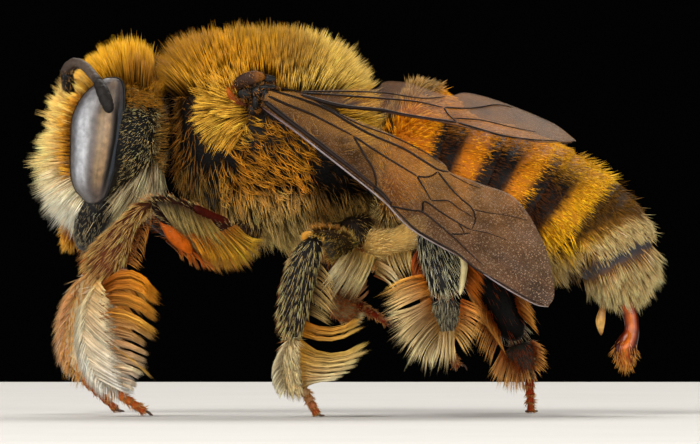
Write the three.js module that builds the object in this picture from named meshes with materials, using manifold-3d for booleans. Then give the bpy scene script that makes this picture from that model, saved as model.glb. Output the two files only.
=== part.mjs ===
// A male leafcutter bee at life size, standing on four feet, as a group of named solids in millimetres.
// +Z is up, the bee faces -X, and its left side is at -Y. Stations along X are measured from the front
// tip of the face's coat, and heights from the floor. At the end the whole group is moved so that its
// origin is at the bottom centre of its box. The solids of hairy parts reach out to the tips of the coat.

import * as THREE from "three";
import { mergeVertices } from "three/addons/utils/BufferGeometryUtils.js";
import Module from "manifold-3d";

const wasm = await Module();
wasm.setup();

// ---- Driving dimensions, in millimetres ----------------------------------------------------------

const BODY_LENGTH = 16; // face coat to tail coat
const HEAD_HALF_WIDTH = 2.5;
const THORAX_HALF_WIDTH = 2.95;
const EYE = { centre: [1.79, 2.02, 6.84], semi: [0.66, 0.68, 1.58], lean: 0.07 };
const WING_THICKNESS = 0.5;
const GAP = 0.03; // between two neighbours
const SIDES = { left: -1, right: 1 };
const HEAD_MIDDLE = [2.15, 0, 6.9];
const HEAD_BLUNTNESS = 0.62; // of its sides: 1 is an ellipsoid, and less is squarer
const FACE_COAT_ENDS = [0.35, 0.85]; // shares of the half width over which the coat gives way to the skull
const THORAX_MIDDLE = [6.15, 0, 7.1];
const THORAX_BLUNTNESS = 0.85;
const TEGULA = { centre: [5.75, 2.78, 8.2], semi: [0.5, 0.34, 0.4], turn: 0.12 };

// Side outlines, as [x, z] stations that run from the front over the back and round underneath.
const HEAD_COAT = [
  [0.03, 6.4], [0.45, 7.85], [1.2, 8.65], [2.1, 9.2], [3.05, 9.5], [3.42, 8.8],
  [3.55, 7.3], [3.6, 6.1], [2.6, 5.1], [1.3, 4.62], [0.5, 4.8], [0.15, 5.5],
];
const HEAD_SKULL = [
  [1.13, 6.6], [1.23, 7.7], [1.6, 8.4], [2.2, 8.75], [2.95, 8.85], [3.32, 8.4],
  [3.42, 7.2], [3.2, 5.9], [2.3, 5.2], [1.5, 4.95], [1.2, 5.25], [1.1, 5.9],
];
const THORAX_COAT = [
  [3.55, 8.3], [3.55, 9.35], [4.3, 9.72], [5.7, 9.9], [7.2, 9.8], [8.2, 9.3], [8.65, 8.4],
  [8.75, 7.0], [8.6, 5.4], [7.9, 4.5], [6.8, 4.3], [5.5, 4.6], [4.4, 5.3], [3.75, 6.6],
];

// The abdomen's axis as [x, z], and beside each point its depth above, depth below and half width.
const ABDOMEN = [
  { at: [8.62, 6.7], size: [1.1, 1.4, 1.5] },
  { at: [9.1, 6.6], size: [1.85, 2.25, 2.3] },
  { at: [10.78, 6.13], size: [1.66, 2.4, 2.75] },
  { at: [12.38, 5.43], size: [1.88, 2.0, 2.75] },
  { at: [13.43, 4.73], size: [1.93, 1.55, 2.5] },
  { at: [14.13, 4.03], size: [1.86, 1.05, 2.1] },
  { at: [14.5, 3.28], size: [1.47, 0.6, 1.5] },
  { at: [14.62, 2.85], size: [0.95, 0.3, 0.8] },
];
const SEGMENT_ENDS = [0, 0.225, 0.404, 0.58, 0.748, 0.87, 1]; // shares of the axis
const SEGMENT_STEP = 0.025; // how far each plate's hind edge stands over the next one

// Wing outlines as seen from the side: [x, z] stations from the root, out along the front edge and back.
const FOREWING = {
  outline: [
    [5.9, 8.0], [6.9, 7.2], [8.1, 6.1], [9.0, 5.2], [10.1, 4.3], [11.6, 3.35], [12.6, 2.85], [13.0, 2.8],
    [13.12, 3.1], [12.95, 3.85], [12.6, 4.6], [12.2, 5.2], [11.7, 5.6], [11.0, 5.82], [10.6, 5.88],
    [10.3, 6.1], [9.8, 6.5], [9.1, 7.1], [8.4, 7.55], [7.5, 7.85], [6.7, 8.05], [6.2, 8.2],
  ],
  root: [5.97, 8.1],
  rootY: 2.85,
  slope: [-0.326, -0.891], // how the distance from the middle plane changes with x and with z
};
const HINDWING = {
  outline: [
    [6.9, 8.0], [7.6, 7.92], [8.8, 7.7], [10.1, 7.35], [11.1, 7.1], [12.3, 6.93], [13.65, 6.85],
    [13.3, 7.15], [12.6, 7.5], [11.6, 7.9], [10.9, 8.08], [10.35, 8.02], [10.2, 7.92], [9.9, 8.2],
    [9.3, 8.42], [8.8, 8.38], [8.5, 8.15], [7.6, 8.14],
  ],
  root: [7.6, 7.9],
  rootY: 3.25,
  slope: [-0.4, -1.9],
};

// Leg joints as [x, distance from the middle plane, z]: hip, thigh, knee, ankle, toes and tip.
const LEG_JOINTS = {
  front_left: [
    [5.6, 0.9, 5.1], [5.4, 1.45, 4.5], [3.3, 3.1, 5.35],
    [1.85, 3.3, 3.72], [2.3, 3.1, 0.6], [2.95, 3.0, 0.14],
  ],
  front_right: [
    [5.6, 0.9, 5.1], [5.4, 1.45, 4.5], [2.95, 3.0, 5.2],
    [1.65, 2.9, 3.8], [1.3, 2.9, 0.9], [2.15, 2.75, 0.1],
  ],
  middle_left: [
    [7.5, 1.1, 4.8], [7.9, 1.6, 4.0], [7.4, 3.85, 4.4],
    [6.45, 4.0, 2.02], [6.8, 3.8, 0.78], [7.22, 3.6, 0.08],
  ],
  middle_right: [
    [7.5, 1.1, 4.8], [7.9, 1.6, 4.0], [7.2, 4.0, 4.8],
    [7.5, 2.9, 2.9], [8.25, 1.95, 2.75], [9.0, 1.35, 2.3],
  ],
  hind_left: [
    [8.1, 1.3, 5.0], [8.4, 1.85, 4.3], [9.9, 3.6, 4.68],
    [10.48, 4.5, 2.95], [10.38, 4.1, 1.58], [10.7, 3.3, 1.3],
  ],
  hind_right: [
    [8.1, 1.3, 5.0], [8.4, 1.85, 4.3], [10.85, 3.5, 4.2],
    [12.3, 3.3, 1.76], [12.58, 3.2, 0.86], [12.62, 3.1, 0.04],
  ],
};

// Round rods along smooth lines, for the left or right side, with a radius for each of their even stations.
const PAIRED_RODS = {
  antenna_scape: {
    line: [[1.3, 0.5, 7.6], [1.08, 0.8, 8.1], [1.02, 1.1, 8.6]],
    radii: [0.26, 0.27, 0.27],
  },
  antenna_flagellum: {
    line: [[1.08, 1.25, 8.7], [1.4, 1.75, 8.76], [1.72, 2.4, 8.48], [2.02, 2.9, 8.05], [2.12, 3.05, 7.56]],
    radii: [0.25, 0.25, 0.25, 0.26, 0.27, 0.25],
  },
  mandible: {
    line: [[1.75, 1.5, 5.35], [1.55, 1.3, 4.75], [1.5, 0.75, 4.1]],
    radii: [0.5, 0.42, 0.3],
  },
};
const MIDDLE_RODS = {
  neck: { line: [[2.9, 0, 6.9], [3.6, 0, 6.95], [4.3, 0, 7.0]], radii: [0.6, 0.6, 0.6] },
  waist: { line: [[8.1, 0, 6.5], [8.75, 0, 6.45], [9.5, 0, 6.4]], radii: [0.5, 0.5, 0.5] },
  labrum: { line: [[1.2, 0, 5.0], [1.05, 0, 4.6], [1.2, 0, 4.2]], radii: [0.4, 0.34, 0.26] },
  // The claspers are out of their pouch: the left one is long and hooked, the right one short.
  tail_clasper_left: {
    line: [
      [14.55, -0.3, 3.15], [14.95, -0.4, 2.7], [15.12, -0.42, 2.1], [14.95, -0.42, 1.55], [15.05, -0.42, 1.12],
    ],
    radii: [0.27, 0.28, 0.28, 0.3, 0.25],
  },
  tail_clasper_right: {
    line: [[14.4, 0.35, 3.1], [14.28, 0.42, 2.55], [14.4, 0.42, 2.0]],
    radii: [0.26, 0.28, 0.25],
  },
};

// Leg pieces from joint to joint. "lead" and "trail" are the reach of the core and its fringe to the two
// edges at five even stations, "turn" is the way that the trailing edge faces, and "half" is the half
// thickness across them.
const LEG_PIECES = {
  front: {
    coxa: {
      lead: [0.5, 0.5, 0.5, 0.45, 0.4],
      trail: [0.5, 0.5, 0.5, 0.45, 0.4],
      turn: [1, 0, 0],
      half: 0.45,
    },
    femur: {
      lead: [0.35, 0.4, 0.38, 0.32, 0.3],
      trail: [0.75, 1.15, 1.1, 0.8, 0.3],
      turn: [0.4, 0, -1],
      half: 0.36,
    },
    tibia: {
      lead: [0.3, 0.36, 0.42, 0.48, 0.45],
      trail: [0.3, 0.4, 0.6, 0.85, 0.75],
      turn: [1, 0, -0.6],
      half: 0.33,
    },
    basitarsus: {
      lead: [0.4, 0.7, 0.88, 0.85, 0.45],
      trail: [1.05, 1.3, 1.05, 0.75, 0.45],
      turn: [1, 0, 0],
      half: 0.29,
    },
    tarsus: {
      lead: [0.28, 0.28, 0.27, 0.28, 0.28],
      trail: [0.28, 0.28, 0.27, 0.28, 0.28],
      turn: [1, 0, 0],
      half: 0.28,
    },
  },
  middle: {
    coxa: {
      lead: [0.5, 0.5, 0.5, 0.5, 0.45],
      trail: [0.5, 0.5, 0.5, 0.5, 0.45],
      turn: [1, 0, 0],
      half: 0.5,
    },
    femur: {
      lead: [0.38, 0.42, 0.42, 0.4, 0.36],
      trail: [0.42, 0.5, 0.55, 0.5, 0.36],
      turn: [0, 0, -1],
      half: 0.38,
    },
    tibia: {
      lead: [0.34, 0.5, 0.6, 0.55, 0.42],
      trail: [0.34, 0.5, 0.6, 0.52, 0.45],
      turn: [1, 0, 0],
      half: 0.36,
    },
    basitarsus: {
      lead: [0.3, 0.42, 0.46, 0.45, 0.3],
      trail: [1.6, 1.7, 1.45, 1.0, 0.5],
      turn: [1, 0, 0.1],
      half: 0.29,
    },
    tarsus: {
      lead: [0.27, 0.27, 0.27, 0.27, 0.28],
      trail: [0.27, 0.27, 0.27, 0.27, 0.28],
      turn: [1, 0, 0],
      half: 0.28,
    },
  },
  hind: {
    coxa: {
      lead: [0.55, 0.55, 0.55, 0.5, 0.45],
      trail: [0.55, 0.55, 0.55, 0.5, 0.45],
      turn: [1, 0, 0],
      half: 0.5,
    },
    femur: {
      lead: [0.4, 0.44, 0.42, 0.38, 0.35],
      trail: [0.75, 0.95, 0.9, 0.65, 0.4],
      turn: [0, 0, -1],
      half: 0.38,
    },
    tibia: {
      lead: [0.4, 0.5, 0.65, 0.85, 0.95],
      trail: [0.4, 0.6, 0.66, 0.64, 0.5],
      turn: [1, 0, 0],
      half: 0.36,
    },
    basitarsus: {
      lead: [1.2, 1.35, 1.1, 0.8, 0.4],
      trail: [0.6, 0.85, 0.75, 0.5, 0.3],
      turn: [1, 0, 0],
      half: 0.3,
    },
    tarsus: {
      lead: [0.27, 0.27, 0.27, 0.27, 0.28],
      trail: [0.27, 0.27, 0.27, 0.27, 0.28],
      turn: [1, 0, 0],
      half: 0.28,
    },
  },
};

// How many sides and rings each kind of solid has.
const MESH = {
  head: [20, 12],
  eye: [12, 10],
  thorax: [20, 14],
  abdomen: [18, 5],
  rod: [8, 7],
  tegula: [8, 6],
  leg: [8, 6],
  wingCurve: 2,
};

// ---- Finishes ------------------------------------------------------------------------------------

const finish = (color, roughness, metalness = 0) =>
  new THREE.MeshStandardMaterial({ color, roughness, metalness });
const FINISH = {
  goldenCoat: finish("#c98a1e", 0.85),
  paleCoat: finish("#d9c48a", 0.85),
  bandedCoat: finish("#b8741a", 0.85),
  eye: finish("#8d8b8c", 0.25),
  cuticle: finish("#241c18", 0.4),
  amberCuticle: finish("#a4501a", 0.35),
  wing: finish("#7d6450", 0.3),
};

// ---- Working tools -------------------------------------------------------------------------------

// A closed skin whose rings are placed by a formula: v runs from pole to pole, and angle goes round.
function shell(sides, rings, place) {
  const sphere = new THREE.SphereGeometry(1, sides, rings);
  const position = sphere.getAttribute("position");
  for (let i = 0; i < position.count; i++) {
    const column = i % (sides + 1);
    const row = Math.floor(i / (sides + 1));
    const angle = (2 * Math.PI * (column % sides)) / sides;
    position.setXYZ(i, ...place(row / rings, angle));
  }
  return sphere;
}

// A geometry as a manifold solid whose faces point out.
function solidOf(geometry) {
  const bare = geometry.clone();
  for (const name of Object.keys(bare.attributes)) {
    if (name !== "position") bare.deleteAttribute(name);
  }
  const merged = mergeVertices(bare, 1e-4);
  const vertProperties = merged.getAttribute("position").array;
  const triangles = [];
  const index = merged.index.array;
  for (let i = 0; i < index.length; i += 3) {
    const [a, b, c] = [index[i], index[i + 1], index[i + 2]];
    if (a !== b && b !== c && a !== c) triangles.push(a, b, c);
  }
  const made = (list) =>
    new wasm.Manifold(new wasm.Mesh({ numProp: 3, vertProperties, triVerts: new Uint32Array(list) }));
  const solid = made(triangles);
  return solid.volume() > 0 ? solid : made(triangles.reverse());
}

// A manifold solid as a geometry.
function geometryOf(solid) {
  const { numProp, numVert, vertProperties, triVerts } = solid.getMesh();
  const points = new Float32Array(numVert * 3);
  for (let i = 0; i < numVert; i++) {
    points.set(vertProperties.subarray(i * numProp, i * numProp + 3), i * 3);
  }
  const geometry = new THREE.BufferGeometry();
  geometry.setAttribute("position", new THREE.BufferAttribute(points, 3));
  geometry.setIndex(new THREE.BufferAttribute(triVerts, 1));
  return geometry;
}

// The same solid with every point moved out along its normal.
function grown(solid, by) {
  const geometry = geometryOf(solid);
  geometry.computeVertexNormals();
  const position = geometry.getAttribute("position");
  const normal = geometry.getAttribute("normal");
  for (let i = 0; i < position.count; i++) {
    position.setXYZ(
      i,
      position.getX(i) + by * normal.getX(i),
      position.getY(i) + by * normal.getY(i),
      position.getZ(i) + by * normal.getZ(i),
    );
  }
  return solidOf(geometry);
}

// A function of a share from 0 to 1 that runs smoothly through rows of numbers at even stations.
function through(rows) {
  return (share) => {
    const at = Math.min(Math.max(share, 0), 1) * (rows.length - 1);
    const k = Math.min(Math.floor(at), rows.length - 2);
    const f = at - k;
    const row = (i) => rows[Math.min(Math.max(i, 0), rows.length - 1)];
    return rows[0].map((_, n) => {
      const [p, q, r, s] = [row(k - 1)[n], row(k)[n], row(k + 1)[n], row(k + 2)[n]];
      return q + 0.5 * f * (r - p + f * (2 * p - 5 * q + 4 * r - s + f * (3 * (q - r) + s - p)));
    });
  };
}

// A closed smooth line through [x, z] stations, read by its angle round the loop.
function loop(stations) {
  const curve = new THREE.CatmullRomCurve3(stations.map(([x, z]) => new THREE.Vector3(x, 0, z)), true);
  return (angle) => curve.getPoint(angle / (2 * Math.PI));
}

// A share from 0 to 1 moved so that stations crowd towards both ends.
const crowded = (v) => (1 - Math.cos(Math.PI * v)) / 2;

const smooth = (from, to, x) => THREE.MathUtils.smoothstep(x, from, to);

// ---- Head ----------------------------------------------------------------------------------------

// Rings lie across the Y axis. The coat stands out in the middle of the face and gives way to the bare
// skull towards the eyes.
function headSolid() {
  const coat = loop(HEAD_COAT);
  const skull = loop(HEAD_SKULL);
  const middle = new THREE.Vector3(...HEAD_MIDDLE);
  return solidOf(
    shell(...MESH.head, (v, angle) => {
      const latitude = Math.PI * (v - 0.5);
      const across = Math.sin(latitude);
      const reach = Math.cos(latitude) ** HEAD_BLUNTNESS;
      const rim = coat(angle).lerp(skull(angle), smooth(...FACE_COAT_ENDS, Math.abs(across)));
      const point = middle.clone().lerp(rim, v === 0 || v === 1 ? 0 : reach);
      return [point.x, HEAD_HALF_WIDTH * across, point.z];
    }),
  );
}

function eyeSolid(side) {
  const [x, y, z] = EYE.centre;
  const eye = new THREE.SphereGeometry(1, ...MESH.eye);
  eye.scale(...EYE.semi).rotateY(EYE.lean).translate(x, side * y, z);
  return solidOf(eye);
}

// A round rod along a smooth line, rounded off at both ends.
function rod({ line: points, radii }, side = 1) {
  const line = new THREE.CatmullRomCurve3(points.map(([x, y, z]) => new THREE.Vector3(x, side * y, z)));
  const radius = through(radii.map((r) => [r]));
  const bend = line.getPoint(0.5).sub(line.getPoint(0)).cross(line.getPoint(1).sub(line.getPoint(0)));
  const steady = bend.lengthSq() > 1e-6 ? bend.normalize() : new THREE.Vector3(0, 1, 0);
  return solidOf(
    shell(...MESH.rod, (v, angle) => {
      const t = crowded(v);
      const along = line.getTangent(t);
      const normal = steady.clone().addScaledVector(along, -steady.dot(along)).normalize();
      const second = along.clone().cross(normal);
      const closing = Math.sqrt(Math.max(0, 1 - Math.abs(2 * t - 1) ** 5));
      const size = v === 0 || v === 1 ? 0 : radius(t)[0] * closing;
      const point = line.getPoint(t);
      point.addScaledVector(normal, size * Math.cos(angle)).addScaledVector(second, size * Math.sin(angle));
      return point.toArray();
    }),
  );
}

// ---- Thorax and abdomen --------------------------------------------------------------------------

function thoraxSolid() {
  const coat = loop(THORAX_COAT);
  const middle = new THREE.Vector3(...THORAX_MIDDLE);
  return solidOf(
    shell(...MESH.thorax, (v, angle) => {
      const latitude = Math.PI * (v - 0.5);
      const reach = v === 0 || v === 1 ? 0 : Math.cos(latitude) ** THORAX_BLUNTNESS;
      const point = middle.clone().lerp(coat(angle), reach);
      return [point.x, THORAX_HALF_WIDTH * Math.sin(latitude), point.z];
    }),
  );
}

const abdomenAxis = new THREE.CatmullRomCurve3(ABDOMEN.map(({ at: [x, z] }) => new THREE.Vector3(x, 0, z)));
const abdomenSize = through(ABDOMEN.map(({ size }) => size));

// One plate ring of the abdomen between two shares of the axis. The ends are flat, and each hind edge
// stands a little over the ring behind it.
function abdomenSegment(k) {
  const inset = GAP / 2 / abdomenAxis.getLength();
  const [from, to] = [SEGMENT_ENDS[k] + inset, SEGMENT_ENDS[k + 1] - inset];
  const [sides, rings] = MESH.abdomen;
  return solidOf(
    shell(sides, rings, (v, angle) => {
      const f = Math.min(Math.max((v * rings - 1) / (rings - 2), 0), 1);
      const t = abdomenAxis.getUtoTmapping(from + (to - from) * f);
      const point = abdomenAxis.getPoint(t);
      if (v === 0 || v === 1) return point.toArray();
      const along = abdomenAxis.getTangent(t);
      const up = new THREE.Vector3(-along.z, 0, along.x);
      const [above, below, wide] = abdomenSize(t);
      const swell = 1 + SEGMENT_STEP * (f - 1);
      const rise = Math.cos(angle) * (Math.cos(angle) > 0 ? above : below) * swell;
      point.addScaledVector(up, rise);
      point.y = Math.sin(angle) * wide * swell;
      return point.toArray();
    }),
  );
}

// ---- Wings and their root caps -------------------------------------------------------------------

// A flat wing: its side outline is given a thickness across, and then leant out from the body.
function wingSolid({ outline, root, rootY, slope }, side) {
  const shape = new THREE.Shape();
  shape.moveTo(...outline[0]);
  shape.splineThru([...outline.slice(1), outline[0]].map((p) => new THREE.Vector2(...p)));
  const across = WING_THICKNESS * Math.hypot(1, ...slope);
  const plate = new THREE.ExtrudeGeometry(shape, {
    depth: across,
    bevelEnabled: false,
    curveSegments: MESH.wingCurve,
  });
  const position = plate.getAttribute("position");
  for (let i = 0; i < position.count; i++) {
    const [x, z, depth] = [position.getX(i), position.getY(i), position.getZ(i)];
    const y = rootY + depth - across / 2 + slope[0] * (x - root[0]) + slope[1] * (z - root[1]);
    position.setXYZ(i, x, side * y, z);
  }
  return solidOf(plate);
}

function tegulaSolid(side) {
  const [x, y, z] = TEGULA.centre;
  const cap = new THREE.SphereGeometry(1, ...MESH.tegula);
  cap.scale(...TEGULA.semi).rotateZ(side * -TEGULA.turn).translate(x, side * y, z);
  return solidOf(cap);
}

// ---- Legs ----------------------------------------------------------------------------------------

// One leg piece from joint to joint: a flattened bar whose two edges have their own reach.
function legPiece(from, to, side, { lead, trail, turn, half }) {
  const [start, end] = [from, to].map(([x, y, z]) => new THREE.Vector3(x, side * y, z));
  const along = end.clone().sub(start).normalize();
  const back = new THREE.Vector3(turn[0], side * turn[1], turn[2]);
  back.addScaledVector(along, -back.dot(along)).normalize();
  const flat = along.clone().cross(back);
  const reach = through(lead.map((value, k) => [value, trail[k]]));
  const over = half * 0.5; // each piece runs on a little into the joint
  const length = end.distanceTo(start) + 2 * over;
  return solidOf(
    shell(...MESH.leg, (v, angle) => {
      const t = crowded(v);
      const point = start.clone().addScaledVector(along, length * t - over);
      if (v === 0 || v === 1) return point.toArray();
      const [forward, backward] = reach(t);
      const closing = Math.sqrt(Math.max(0, 1 - Math.abs(2 * t - 1) ** 6));
      const width = (Math.cos(angle) > 0 ? backward : forward) * Math.cos(angle) * closing;
      point.addScaledVector(back, width).addScaledVector(flat, half * closing * Math.sin(angle));
      return point.toArray();
    }),
  );
}

function legSolids() {
  const found = [];
  for (const piece of ["coxa", "femur", "tibia", "basitarsus", "tarsus"]) {
    for (const [leg, joints] of Object.entries(LEG_JOINTS)) {
      const [pair, sideName] = leg.split("_");
      const k = Object.keys(LEG_PIECES[pair]).indexOf(piece);
      const made = legPiece(joints[k], joints[k + 1], SIDES[sideName], LEG_PIECES[pair][piece]);
      const colour = { front: "amberCuticle", middle: "cuticle", hind: "cuticle" }[pair];
      const coated = piece === "basitarsus" || (piece === "femur" && pair !== "middle");
      found.push([`${leg}_${piece}`, made, coated ? "paleCoat" : colour]);
    }
  }
  return found;
}

// ---- Assembly ------------------------------------------------------------------------------------

// Every piece in the order of claim: a piece gives way to all those before it.
function allSolids() {
  const pairs = (name, make, colour) =>
    Object.entries(SIDES).map(([sideName, side]) => [`${name}_${sideName}`, make(side), colour]);
  const pairedRods = (name, colour) => pairs(name, (side) => rod(PAIRED_RODS[name], side), colour);
  const middleRod = (name, colour) => [name, rod(MIDDLE_RODS[name]), colour];
  return [
    middleRod("neck", "cuticle"),
    middleRod("waist", "cuticle"),
    ...pairs("eye", eyeSolid, "eye"),
    ["head", headSolid(), "goldenCoat"],
    ["thorax", thoraxSolid(), "goldenCoat"],
    ...SEGMENT_ENDS.slice(1).map((_, k) => [`abdomen_segment_${k + 1}`, abdomenSegment(k), "bandedCoat"]),
    ...legSolids(),
    ...pairedRods("antenna_scape", "cuticle"),
    ...pairedRods("antenna_flagellum", "cuticle"),
    ...pairedRods("mandible", "cuticle"),
    middleRod("labrum", "amberCuticle"),
    ...pairs("tegula", tegulaSolid, "amberCuticle"),
    ...pairs("forewing", (side) => wingSolid(FOREWING, side), "wing"),
    ...pairs("hindwing", (side) => wingSolid(HINDWING, side), "wing"),
    middleRod("tail_clasper_left", "amberCuticle"),
    middleRod("tail_clasper_right", "amberCuticle"),
  ];
}

// The floor's own block, which trims the feet to flats at one level.
function floorBlock() {
  const depth = 4;
  const size = 2 * BODY_LENGTH;
  return solidOf(new THREE.BoxGeometry(size, size, depth).translate(BODY_LENGTH / 2, 0, -depth / 2));
}

const biggest = (solid) => solid.decompose().sort((a, b) => b.volume() - a.volume())[0];

const overlaps = (a, b) => {
  const [p, q] = [a.boundingBox(), b.boundingBox()];
  return [0, 1, 2].every((i) => p.min[i] <= q.max[i] && q.min[i] <= p.max[i]);
};

function assemble() {
  const floor = floorBlock();
  const bee = new THREE.Group();
  const claimed = [];
  for (const [name, whole, colour] of allSolids()) {
    let solid = whole.subtract(floor);
    for (const other of claimed) {
      if (overlaps(solid, other)) solid = solid.subtract(other);
    }
    solid = biggest(solid);
    claimed.push(grown(solid, GAP));
    const mesh = new THREE.Mesh(geometryOf(solid), FINISH[colour]);
    mesh.name = name;
    bee.add(mesh);
  }
  const box = new THREE.Box3().setFromObject(bee);
  const middle = box.getCenter(new THREE.Vector3());
  bee.position.set(-middle.x, -middle.y, -box.min.z);
  return bee;
}

export default assemble();
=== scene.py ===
"""Looks of a male leafcutter bee at life size: skin, coat, eyes, feelers, wings, legs and a plain studio.

Places are millimetre stations: x runs back from the front tip of the face's coat, y away from the
middle plane with the left side negative, and z up from the floor. Tables that serve both sides give y
as the distance from the middle plane.
"""

import logging
from dataclasses import dataclass, field, replace
from enum import Enum
from typing import Callable, Optional, Sequence

import bmesh
import bpy
import numpy as np
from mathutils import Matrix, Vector
from mathutils.kdtree import KDTree


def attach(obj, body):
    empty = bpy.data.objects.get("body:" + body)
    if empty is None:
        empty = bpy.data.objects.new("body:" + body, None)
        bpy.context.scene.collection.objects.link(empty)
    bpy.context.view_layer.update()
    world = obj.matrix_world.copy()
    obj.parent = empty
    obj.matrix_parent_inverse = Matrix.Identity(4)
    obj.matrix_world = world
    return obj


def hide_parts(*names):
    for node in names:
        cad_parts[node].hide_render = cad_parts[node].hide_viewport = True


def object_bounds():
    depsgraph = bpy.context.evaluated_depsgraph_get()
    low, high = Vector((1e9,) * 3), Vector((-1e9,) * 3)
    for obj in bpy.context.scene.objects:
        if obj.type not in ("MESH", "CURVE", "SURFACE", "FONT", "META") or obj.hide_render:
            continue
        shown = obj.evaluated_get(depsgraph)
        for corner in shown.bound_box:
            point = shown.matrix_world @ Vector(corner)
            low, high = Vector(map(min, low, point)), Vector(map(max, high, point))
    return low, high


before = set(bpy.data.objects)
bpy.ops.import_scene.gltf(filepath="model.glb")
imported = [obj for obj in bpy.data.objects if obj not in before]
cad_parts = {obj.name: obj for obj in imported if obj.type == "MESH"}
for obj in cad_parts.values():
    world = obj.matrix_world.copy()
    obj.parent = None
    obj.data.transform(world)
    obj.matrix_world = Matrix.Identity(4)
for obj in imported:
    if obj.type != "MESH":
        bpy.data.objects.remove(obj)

log = logging.getLogger("leafcutter_bee")

Array = np.ndarray
Colour = tuple[float, float, float]
Triple = tuple[float, float, float]
Place = Callable[[Array, Array], Array]
Material = bpy.types.Material
Node = bpy.types.Node
NodeTree = bpy.types.NodeTree
Socket = bpy.types.NodeSocket

# ---- Sizes, in millimetres ----

MM = 0.001
CAD_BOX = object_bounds()
FRONT_STATION = 0.03  # of the CAD's foremost point
BODY = "root"
ORIGIN = np.array([CAD_BOX[0].x / MM - FRONT_STATION, 0.0, 0.0])
PIECE_TRIANGLES = 190_000  # at most, in one mesh of hair
PATCH = 0.003  # of one hair on the unwrap
ROOT_DEPTH = 0.03  # of hair in the skin
HAIR_TAPER = 0.72  # what a hair loses of its width towards the tip
WASH = 0.75  # how far the far legs' fringes lean to their own colours
FLOOR_GAP = 0.002  # below the lowest hair
NECK_STATION = 3.62  # where the head's coat ends and the thorax's begins
GRID = 40.0  # steps to the millimetre of the grid that side views are drawn on
GRID_ZERO = (28.0, 415.0)  # where x and z are 0 on it
SEED = 20_461
# what each coat adds to it, besides its side's sign or its leg's number
SEEDS = dict(abdomen=3, head=4, thorax=6, feeler=10, jaw=20, lip=22, leg=30, tail=50, wing=60)


class Side(Enum):
    """The two sides of the bee, with the sign of y on each."""

    LEFT = -1
    RIGHT = 1

    @property
    def label(self) -> str:
        """The side's name as the frame's nodes give it."""
        return self.name.lower()


# ---- Numbers and lines ----


def linear(code: str) -> Colour:
    """Turns a screen colour into the linear one that materials take.

    Args:
        code: Six hexadecimal digits.

    Returns:
        Red, green and blue from 0 to 1.
    """
    shares = [int(code[k : k + 2], 16) / 255 for k in (0, 2, 4)]
    return tuple(c / 12.92 if c <= 0.04045 else ((c + 0.055) / 1.055) ** 2.4 for c in shares)


def unit(vectors: Array) -> Array:
    """Gives the vectors a length of one."""
    return vectors / np.maximum(np.linalg.norm(vectors, axis=-1, keepdims=True), 1e-9)


def ramp(low: float, high: float, value: Array) -> Array:
    """Rises smoothly from 0 at low to 1 at high, where high may be the smaller one."""
    share = np.clip((value - low) / (high - low), 0, 1)
    return share * share * (3 - 2 * share)


def mix(first: Array, second: Array, share: Array) -> Array:
    """Blends two arrays of vectors by a share for each row."""
    weight = np.asarray(share, float)[..., None]
    return np.asarray(first) * (1 - weight) + np.asarray(second) * weight


def shades(rows: Sequence[tuple[float, str]], value: Array) -> Array:
    """Reads colours that are given at stations.

    Args:
        rows: A station and a colour code each.
        value: Where to read.

    Returns:
        One linear colour for each value.
    """
    stations = [row[0] for row in rows]
    colours = np.array([linear(row[1]) for row in rows])
    return np.stack([np.interp(value, stations, colours[:, k]) for k in range(3)], axis=1)


def graded(rows: Sequence[tuple[float, str]]) -> Place:
    """A rule that colours points by their share of the way from pole to pole."""
    return lambda points, share: shades(rows, share)


def px(*numbers: float) -> Array:
    """Side stations of points that are drawn on the grid, given as x, z, x, z and so on, with z down."""
    return (np.reshape(numbers, (-1, 2)) - GRID_ZERO) / (GRID, -GRID)


def rounded(share: Array, sharpness: int) -> Array:
    """A factor on a rod's width that closes both of its ends: the sharper, the blunter they are."""
    return np.sqrt(np.clip(1 - np.abs(2 * share - 1) ** sharpness, 0, 1))


class Line:
    """A smooth line through rows of numbers, at even stations or at its own."""

    def __init__(self, rows: Sequence, stations: Optional[Sequence[float]] = None) -> None:
        """Keeps the rows and works out the slope at each.

        Args:
            rows: Numbers, or points of any width.
            stations: Where each row lies. Even shares from 0 to 1 if it is left out.
        """
        rows = np.asarray(rows, float)
        self.flat = rows.ndim == 1
        self.rows = rows[:, None] if self.flat else rows
        even = np.linspace(0, 1, len(rows))
        self.stations = even if stations is None else np.asarray(stations, float)
        gaps = np.diff(self.stations)[:, None]
        steps = np.diff(self.rows, axis=0) / gaps
        inner = (steps[:-1] * gaps[1:] + steps[1:] * gaps[:-1]) / (gaps[1:] + gaps[:-1])
        self.slopes = np.vstack([steps[:1], inner, steps[-1:]])

    def at(self, share: Array) -> Array:
        """Reads the line at one or many shares.

        Args:
            share: Where to read, from the first station to the last.

        Returns:
            A row of numbers, or one number, for each.
        """
        share = np.clip(np.asarray(share, float), self.stations[0], self.stations[-1])
        k = np.clip(np.searchsorted(self.stations, share, side="right") - 1, 0, len(self.rows) - 2)
        gap = (self.stations[k + 1] - self.stations[k])[..., None]
        f = (share - self.stations[k])[..., None] / gap
        start, end = self.rows[k], self.rows[k + 1]
        rise, fall = self.slopes[k] * gap, self.slopes[k + 1] * gap
        found = (
            start * (1 + 2 * f) * (1 - f) ** 2
            + rise * f * (1 - f) ** 2
            + end * f * f * (3 - 2 * f)
            - fall * f * f * (1 - f)
        )
        return found[..., 0] if self.flat else found

    def heading(self, share: Array) -> Array:
        """The unit direction of the line at one or many shares."""
        step = 0.004 * (self.stations[-1] - self.stations[0])
        share = np.asarray(share, float)
        return unit(self.at(share + step) - self.at(share - step))


def sided(points: Sequence[Triple], side: Side) -> Array:
    """Places points given for the right side on either side."""
    return np.asarray(points, float) * [1, side.value, 1]


# ---- Forms ----


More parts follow.
